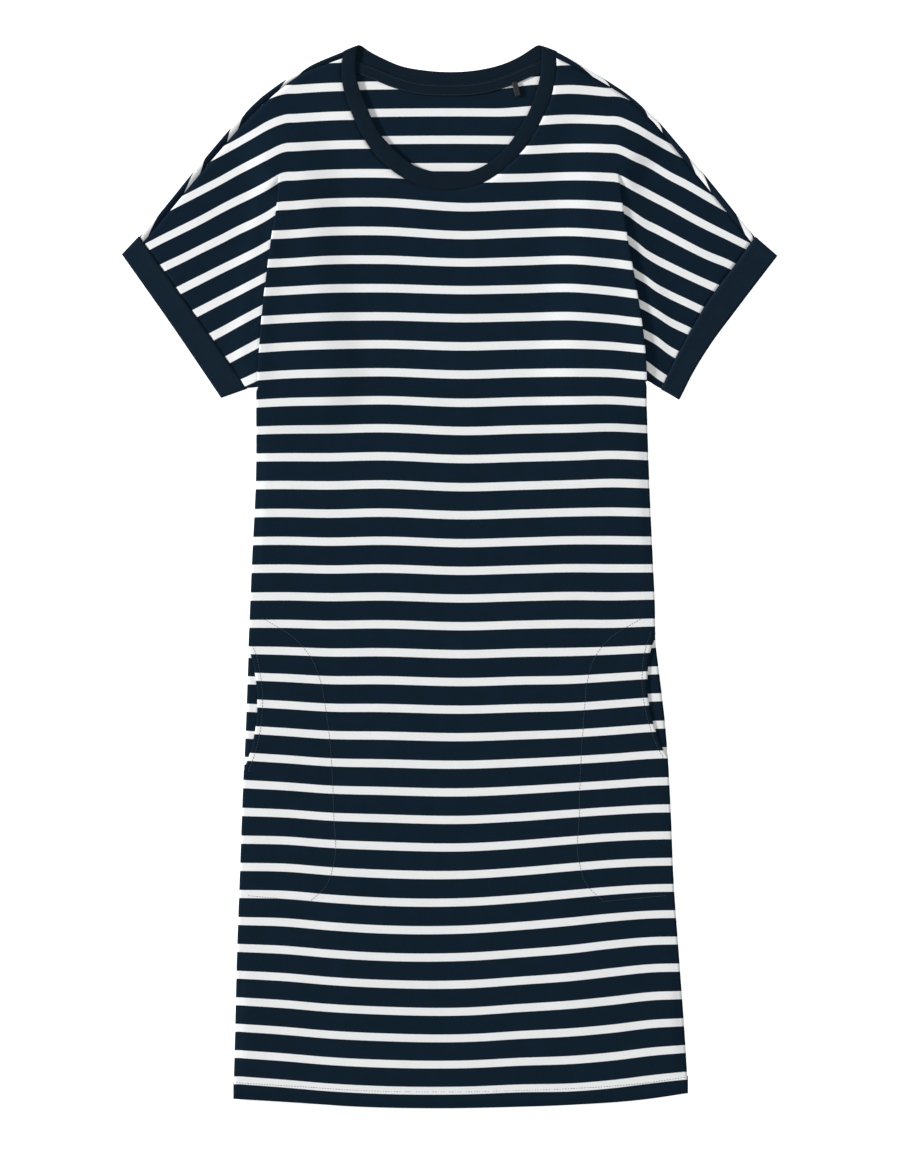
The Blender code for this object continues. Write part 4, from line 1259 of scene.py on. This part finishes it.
@dataclass
class Neckband:
    """A strip folded double, sewn round the neck and rolled over at the neck points.

    Attributes:
        material: plain jersey.
        front_rows: faces along the front.
        back_rows: faces along the back.
        turn_steps: faces over each neck point.
        around: faces round the band's own section.
        wave: height of its slow waves along the front.
        seam_share: thickness at the seam, as a share of the rest.
    """

    material: bpy.types.Material
    front_rows: int = 150
    back_rows: int = 90
    turn_steps: int = 8
    around: int = 20
    wave: float = 0.10
    seam_share: float = 0.72

    def section(self, seam: Points, edge: Points, z: float, tip: float, shift: Points) -> Points:
        """Draw the band's flat oval section at one station.

        Args:
            seam: the seam's place on the plan.
            edge: the free edge's place.
            z: height of its middle.
            tip: how far it is rolled over, in radians.
            shift: how far the roll moves it.

        Returns:
            Rows of x, y, z, u, v round the section.
        """
        middle = 0.5 * (seam + edge) + shift
        across = 0.5 * (edge - seam)
        width = float(np.linalg.norm(across))
        outward = np.array((-across[1], across[0])) / max(width, 1e-6)
        outward = outward if outward[1] > 0.0 else -outward
        rows = []
        for k in range(self.around):
            a = 2.0 * math.pi * k / self.around
            c, s = math.cos(a), math.sin(a)
            side = math.copysign(abs(c) ** 0.55, c)
            up = math.copysign(abs(s) ** 0.75, s) * 0.5 * BAND_WALL
            up *= self.seam_share + (1.0 - self.seam_share) * min((side + 1.0) * 1.6, 1.0)
            place = middle + across * side + outward * up * math.sin(tip)
            rows.append((*place, z + up * math.cos(tip), 0.0, side * width / STRIPE_REPEAT))
        return np.array(rows)

    def build(self) -> bpy.types.Object:
        """Make the ring and hand it over."""
        front, back = (
            tuple(path([row[k:k + 2] for row in table]) for k in (0, 2))
            for table in (NECK_FRONT, NECK_BACK)
        )
        low, high = 0.5 * BAND_WALL, NECK_Z + 0.1
        still = np.zeros(2)
        rings = []
        for t in np.arange(self.front_rows + 1) / self.front_rows:
            wave = self.wave * math.sin(t * 61.0 + 1.5 * math.sin(t * 17.0)) * math.sin(math.pi * t)
            rings.append(self.section(front[0](t), front[1](t), high + wave, 0.0, still))
        rings += self.turn(front, back, 1.0, low, high)
        for t in 1.0 - np.arange(self.back_rows + 1) / self.back_rows:
            rings.append(self.section(back[0](t), back[1](t), low, math.pi, still))
        rings += self.turn(front, back, 0.0, low, high)
        length = 0.0
        for k, ring in enumerate(rings):
            length += float(np.linalg.norm(ring[:, :3].mean(0) - rings[k - 1][:, :3].mean(0))) if k else 0.0
            ring[:, 3] = length / STRIPE_REPEAT
        columns = [np.array([ring[k % self.around] for ring in rings]) for k in range(self.around + 1)]
        piece = cloth_mesh("neckband_jersey", [columns], self.material, closed=True)
        hand_over(piece, "neckband")
        return piece

    def turn(
        self, front: tuple[Line, ...], back: tuple[Line, ...], end: float, low: float, high: float,
    ) -> Grid:
        """Roll the band over one neck point.

        Args:
            front: lines of the front's seam and free edge.
            back: lines of the back's.
            end: 1 rolls to the back at the lines' end, 0 to the front at their start.
            low: height of the band at the back.
            high: height at the front.

        Returns:
            The rings between the two.
        """
        way = 2.0 * end - 1.0
        radius = 0.5 * (high - low)
        rings = []
        for k in range(1, self.turn_steps):
            step = k / self.turn_steps if end else 1.0 - k / self.turn_steps
            a = math.pi * step
            shift = np.array((0.3 * way * radius * math.sin(a), radius * math.sin(a)))
            seam, edge = (f(end) * (1.0 - step) + b(end) * step for f, b in zip(front, back))
            rings.append(self.section(seam, edge, high - radius * (1.0 - math.cos(a)), a, shift))
        return rings


@dataclass
class Cuff:
    """A strip folded double on a sleeve's end, as a flattened tube.

    Attributes:
        side: left or right.
        material: plain jersey.
        along: faces down the front of the cuff.
        across: faces from the seam to the folded edge.
        turn_steps: faces round each end.
        gap: room between its two layers.
        depth: from the seam to the folded edge.
        step: length of a face down the cuff.
        bead: height of the ridge beside the seam.
        dent: depth of the seam.
        wave: height of its slow waves.
    """

    side: Side
    material: bpy.types.Material
    along: int = 60
    across: int = 10
    turn_steps: int = 6
    gap: float = 0.55
    depth: float = 26.0
    step: float = 3.2
    bead: float = 0.28
    dent: float = 0.25
    wave: float = 0.12

    def build(self) -> bpy.types.Object:
        """Make the cuff and hand it over."""
        seam, edge = CUT.cuff_seam[self.side], CUT.cuff_edge[self.side]
        low = 0.5 * BAND_WALL
        high = low + BAND_WALL + self.gap
        radius = 0.5 * (high - low)
        inset = radius + 0.5 * BAND_WALL - 1.0
        s = np.linspace(0.0, 1.0, self.along + 1)
        angles = np.arange(1, self.turn_steps) * math.pi / self.turn_steps
        bend = radius * np.column_stack([np.sin(angles), 1.0 - np.cos(angles)])
        rows = []
        for t in np.linspace(0.0, 1.03, self.across + 1):
            bead = self.bead * swell(t, 0.12, 0.07) - self.dent * swell(t, 0.0, 0.05)
            top, bottom = (seam(end) * (1.0 - t) + edge(end) * t for end in (0.0, 1.0))
            reach = unit(bottom - top)
            line = seam(s) * (1.0 - t) + edge(s) * t + reach * (inset * (1.0 - 2.0 * s))[:, None]
            wave = self.wave * np.sin(s * 47.0 + 1.2 * np.sin(s * 13.0)) * np.sin(math.pi * s)
            wave *= 1.0 - 0.6 * t
            loop = [(*p, high + w + bead) for p, w in zip(line, wave)]
            loop += [(*(line[-1] + reach * out), high - drop) for out, drop in bend]
            loop += [(*p, low) for p in line[::-1]]
            loop += [(*(line[0] - reach * out), low + drop) for out, drop in bend]
            u = np.arange(len(loop)) * self.step / STRIPE_REPEAT
            rows.append(np.column_stack([loop, u, np.full(len(loop), t * self.depth / STRIPE_REPEAT)]))
        name = "cuff_" + self.side.name.lower()
        piece = cloth_mesh(name + "_jersey", [rows], self.material, closed=True)
        thicken(piece, BAND_WALL)
        hand_over(piece, name)
        return piece


@dataclass
class Pocket:
    """A pocket's bag, which shows in the curved mouth beyond the front.

    Attributes:
        side: left or right.
        material: striped jersey.
        rows: faces from top to bottom.
        cols: faces across.
    """

    side: Side
    material: bpy.types.Material
    rows: int = 90
    cols: int = 24

    def build(self) -> bpy.types.Object:
        """Make the bag and hand it over."""
        grid = []
        for y in np.linspace(POCKET_TOP, POCKET_BOTTOM, self.rows + 1):
            outer = float(CUT.side_x[self.side](y))
            across = outer - self.side.value * CUT.pocket_inner(y) * np.linspace(0.0, 1.0, self.cols + 1)
            plan = np.column_stack([across, np.full(len(across), y)])
            shift = float(np.interp(y, *zip(*POCKET_DROP[self.side])))
            v = Stripes.body(plan + np.array((0.0, shift)), Layer.FRONT)
            grid.append(np.column_stack([plan, np.full(len(across), POCKET_Z), across / STRIPE_REPEAT, v]))
        name = "pocket_" + self.side.name.lower()
        piece = cloth_mesh(name + "_jersey", [grid], self.material)
        thicken(piece, WALL)
        hand_over(piece, name)
        return piece


@dataclass
class NeckFinish:
    """The tape over the back neck seam and the small tab on it.

    Attributes:
        tape: plain jersey.
        tab: woven tape.
        width: of the tape.
        lap: where its upper edge lies below the neckband's seam.
        wall: thickness of both.
        tab_place: the tab's middle on the plan.
        tab_size: its width and length.
        tab_tilt: degrees that it leans.
    """

    tape: bpy.types.Material
    tab: bpy.types.Material
    width: float = 11.0
    lap: float = -1.6
    wall: float = 0.8
    tab_place: tuple[float, float] = (70.0, 511.7)
    tab_size: tuple[float, float] = (5.8, 15.0)
    tab_tilt: float = 14.0

    def build_tape(self) -> bpy.types.Object:
        """Make the tape and hand it over."""
        seam = path([row[:2] for row in NECK_BACK])
        grid = []
        for t in np.linspace(0.05, 0.95, 121):
            down = seam_normal(seam, t)
            row = []
            for s in np.linspace(0.0, 1.0, 9):
                place = seam(t) + down * (self.lap + (self.width - self.lap) * s)
                puff = 0.18 * math.sin(math.pi * s) ** 0.5 + 0.05 * math.sin(t * 260.0) * s
                row.append((*place, EDGE_Z + puff, t * 8.0, s * self.width / STRIPE_REPEAT))
            grid.append(np.array(row))
        piece = cloth_mesh("neck_tape_jersey", [grid], self.tape)
        thicken(piece, self.wall)
        hand_over(piece, "neck_tape")
        return piece

    def build_tab(self) -> bpy.types.Object:
        """Make the tab and hand it over."""
        tilt = math.radians(self.tab_tilt)
        down = np.array((math.sin(tilt), -math.cos(tilt)))
        across = np.array((-down[1], down[0]))
        width, length = self.tab_size
        grid = []
        for s in np.linspace(-0.5, 0.5, 25):
            z = BACK_Z + 2.0 * LAYER_LIFT + 0.5 * math.cos(math.pi * s)
            middle = np.array(self.tab_place) + down * length * s
            grid.append(np.array([
                (*(middle + across * 0.5 * width * w), z, w, s) for w in np.linspace(-1.0, 1.0, 7)
            ]))
        piece = cloth_mesh("neck_loop_tape", [grid], self.tab)
        thicken(piece, self.wall)
        hand_over(piece, "neck_loop")
        return piece


@dataclass
class Stitching:
    """Lines of machine stitches laid on the cloth by Geometry Nodes.

    Attributes:
        material: thread.
        length: of one stitch.
        pitch: from one stitch to the next.
        thread: its radius.
        wobble: how far a stitch is turned at random, in radians.
        mouth_inset: of its line from a pocket mouth's edge.
        bag_foot: how far the pocket bag's lower edge runs out to the side, and up.
        tape_rows: distances of the tape's two lines from the neckband's seam.
    """

    material: bpy.types.Material
    length: float = 2.3
    pitch: float = 2.9
    thread: float = 0.28
    wobble: float = 0.06
    mouth_inset: float = 5.2
    bag_foot: tuple[float, float] = (64.0, 6.0)
    tape_rows: tuple[float, float] = (0.8, 10.2)

    def tree(self) -> bpy.types.NodeTree:
        """Build the tree that sets a stitch at each step of a line."""
        tree = bpy.data.node_groups.new("stitches_on_line", "GeometryNodeTree")
        for name, kind in (
            ("Geometry", "Geometry"), ("Pitch", "Float"), ("Length", "Float"), ("Thread", "Float"),
            ("Seed", "Int"), ("Finish", "Material"),
        ):
            tree.interface.new_socket(name, in_out="INPUT", socket_type="NodeSocket" + kind)
        tree.interface.new_socket("Geometry", in_out="OUTPUT", socket_type="NodeSocketGeometry")
        start = add_node(tree, "NodeGroupInput").outputs
        curve = add_node(tree, "GeometryNodeMeshToCurve", {0: start["Geometry"]}).outputs[0]
        points = add_node(
            tree, "GeometryNodeCurveToPoints", {"Curve": curve, "Length": start["Pitch"]}, mode="LENGTH",
        )
        half = arithmetic(tree, "MULTIPLY", start["Length"], 0.5)
        size = add_node(tree, "ShaderNodeCombineXYZ", {0: start["Thread"], 1: start["Thread"], 2: half})
        ball = add_node(tree, "GeometryNodeMeshUVSphere", {"Segments": 6, "Rings": 4, "Radius": 1.0})
        stitch = add_node(
            tree, "GeometryNodeTransform", {"Geometry": ball.outputs[0], "Scale": size.outputs[0]},
        )
        wobble = add_node(
            tree, "FunctionNodeRandomValue",
            {0: (-self.wobble,) * 3, 1: (self.wobble,) * 3, "Seed": start["Seed"]},
            data_type="FLOAT_VECTOR",
        )
        turned = add_node(
            tree, "FunctionNodeRotateEuler",
            {"Rotation": points.outputs["Rotation"], "Rotate By": wobble.outputs[0]},
            rotation_type="EULER", space="LOCAL",
        )
        placed = add_node(
            tree, "GeometryNodeInstanceOnPoints",
            {"Points": points.outputs[0], "Instance": stitch.outputs[0], "Rotation": turned.outputs[0]},
        )
        real = add_node(tree, "GeometryNodeRealizeInstances", {0: placed.outputs[0]})
        done = add_node(tree, "GeometryNodeSetMaterial", {0: real.outputs[0], "Material": start["Finish"]})
        add_node(tree, "NodeGroupOutput", {0: done.outputs[0]})
        return tree

    def lines(self) -> list[Points]:
        """Lay out every line of stitches as x, y, z."""
        hem_x = np.linspace(-223.0, 246.0, 400)
        lines = [self.on_front(np.column_stack([hem_x, CUT.hem_y(hem_x) + HEM_STITCH]))]
        for side in Side:
            lines += self.pocket(side)
        return lines + [self.on_tape(offset) for offset in self.tape_rows]

    def pocket(self, side: Side) -> list[Points]:
        """Lay the lines beside one pocket mouth and round its bag."""
        top, bottom, _ = MOUTHS[side]
        y = np.linspace(top + 3.0, bottom - 3.0, 120)
        x = CUT.side_x[side](y) - side.value * (CUT.mouth_inset(side, y) + self.mouth_inset)
        mouth = np.column_stack([x, y])
        y = np.linspace(POCKET_TOP - 2.0, POCKET_BOTTOM + 2.0, 260)
        bag = np.column_stack([CUT.side_x[side](y) - side.value * CUT.pocket_inner(y), y])
        out, up = self.bag_foot
        foot = bag[-1] + np.outer(np.linspace(0.0, 1.0, 60)[1:], (side.value * out, up))
        return [self.on_front(mouth), self.on_front(np.concatenate([bag, foot]))]

    @staticmethod
    def on_tape(offset: float) -> Points:
        """Lay a line along the back neck's tape, this far below the neckband's seam."""
        seam = path([row[:2] for row in NECK_BACK])
        return np.array([
            (*(seam(t) + seam_normal(seam, t) * offset), EDGE_Z + 0.42)
            for t in np.linspace(0.11, 0.89, 160)
        ])

    @staticmethod
    def on_front(plan: Points) -> Points:
        """Lift a line of the plan to the top of the front."""
        return np.column_stack([plan, Heights.body(plan, Layer.FRONT) + 0.5 * WALL + 0.05])

    def build(self) -> bpy.types.Object:
        """Set the stitches, make them one plain mesh and hand it over."""
        mesh = bpy.data.meshes.new("stitch_lines")
        verts, edges = [], []
        for line in self.lines():
            start = len(verts)
            verts.extend(tuple(p) for p in line * MM)
            edges.extend((start + k, start + k + 1) for k in range(len(line) - 1))
        mesh.from_pydata(verts, edges, [])
        guide = put("stitch_guide", mesh)
        tree = self.tree()
        nodes = guide.modifiers.new("stitches", "NODES")
        nodes.node_group = tree
        values = {
            "Pitch": self.pitch * MM, "Length": self.length * MM, "Thread": self.thread * MM,
            "Seed": 7, "Finish": self.material,
        }
        for item in tree.interface.items_tree:
            if item.in_out == "INPUT" and item.name in values:
                nodes[item.identifier] = values[item.name]
        ready = guide.evaluated_get(bpy.context.evaluated_depsgraph_get())
        plain = bpy.data.meshes.new_from_object(ready)
        plain.name = "sewing_thread"
        piece = put("sewing_thread", plain)
        bpy.data.objects.remove(guide, do_unlink=True)
        piece.data.shade_smooth()
        hand_over(piece, None)
        return piece


@dataclass
class Studio:
    """Floor, light and the camera straight above.

    Attributes:
        picture: width and height of the picture, in pixels.
        scale: millimetres of garment to a pixel.
        middle: place on the plan under the picture's middle.
        distance: of the camera, in metres.
        sensor: height of the camera's film.
        floor: its side, in metres.
        floor_drop: room between floor and garment, in metres.
    """

    picture: tuple[int, int] = (900, 1176)
    scale: float = 1.05
    middle: tuple[float, float] = (0.5, -12.1)
    distance: float = 7.0
    sensor: float = 24.0
    floor: float = 12.0
    floor_drop: float = 0.0003

    def build_camera(self) -> None:
        """Hang a long lens over the garment."""
        data = bpy.data.cameras.new("camera")
        data.sensor_fit = "VERTICAL"
        data.sensor_height = self.sensor
        data.lens = self.sensor * self.distance / (self.picture[1] * self.scale * MM)
        data.clip_end = 40.0
        camera = put("camera", data)
        camera.location = (self.middle[0] * MM, self.middle[1] * MM, self.distance)
        bpy.context.scene.camera = camera

    def build_floor(self) -> None:
        """Lay a pale matt floor under the garment."""
        paper = Finish(
            "white_paper_floor", Base_Color=linear("#FBFBFB"), Roughness=0.95, Specular_IOR_Level=0.1,
            Emission_Color=linear("#FFFFFF"), Emission_Strength=0.7,
        )
        mesh = bpy.data.meshes.new("floor")
        corners = ((-0.5, -0.5), (0.5, -0.5), (0.5, 0.5), (-0.5, 0.5))
        mesh.from_pydata(
            [(x * self.floor, y * self.floor, -self.floor_drop) for x, y in corners], [], [(0, 1, 2, 3)],
        )
        mesh.materials.append(paper.material)
        floor = put("floor", mesh)

    def build_light(self) -> None:
        """Light it from the left, low enough to show the folds, with a pale fill."""
        world = bpy.data.worlds.new("pale_room")
        world.use_nodes = True
        world.node_tree.nodes["Background"].inputs[0].default_value = (1.0, 1.0, 1.0, 1.0)
        world.node_tree.nodes["Background"].inputs[1].default_value = 0.3
        bpy.context.scene.world = world
        for name, place, size, power in (
            ("key_left", (-7.2, 2.2, 3.1), 1.0, 760.0),
            ("fill_top", (2.0, 0.4, 3.4), 3.0, 42.0),
        ):
            data = bpy.data.lights.new(name, "AREA")
            data.shape = "SQUARE"
            data.size = size
            data.energy = power
            lamp = put(name, data)
            lamp.location = place
            x, y, z = place
            lamp.rotation_euler = (math.atan2(math.hypot(x, y), z), 0.0, math.atan2(-y, -x) - math.pi / 2.0)
        view = bpy.context.scene.view_settings
        view.view_transform = "Standard"
        view.look = "None"


def main() -> None:
    """Dress the garment, make its cloth and light it."""
    logging.basicConfig(level=logging.INFO, format="%(name)s %(message)s")
    studio = Studio()
    studio.build_camera()
    studio.build_floor()
    studio.build_light()

    striped = Jersey("navy_white_striped_jersey", "#0B1E2C", "#F1F3F3").build()
    plain = Jersey("navy_plain_jersey", "#0D1C28", roughness=0.84).build()
    cuff = Jersey("navy_cuff_jersey", "#10212F", roughness=0.82).build()
    tab = WovenTape("black_woven_tape", "#05080B").build()
    thread = Yarn("grey_navy_polyester_thread", "#2A3640").build()

    back = Panel(Layer.BACK, striped, lower_rows=90).build()
    front = Panel(Layer.FRONT, striped).build()
    band = Neckband(plain).build()
    finish = NeckFinish(plain, tab)
    tape = finish.build_tape()
    loop = finish.build_tab()
    cuffs = [Cuff(side, cuff).build() for side in Side]
    pockets = [Pocket(side, striped).build() for side in Side]
    stitches = Stitching(thread).build()


if __name__ == "__main__":
    main()
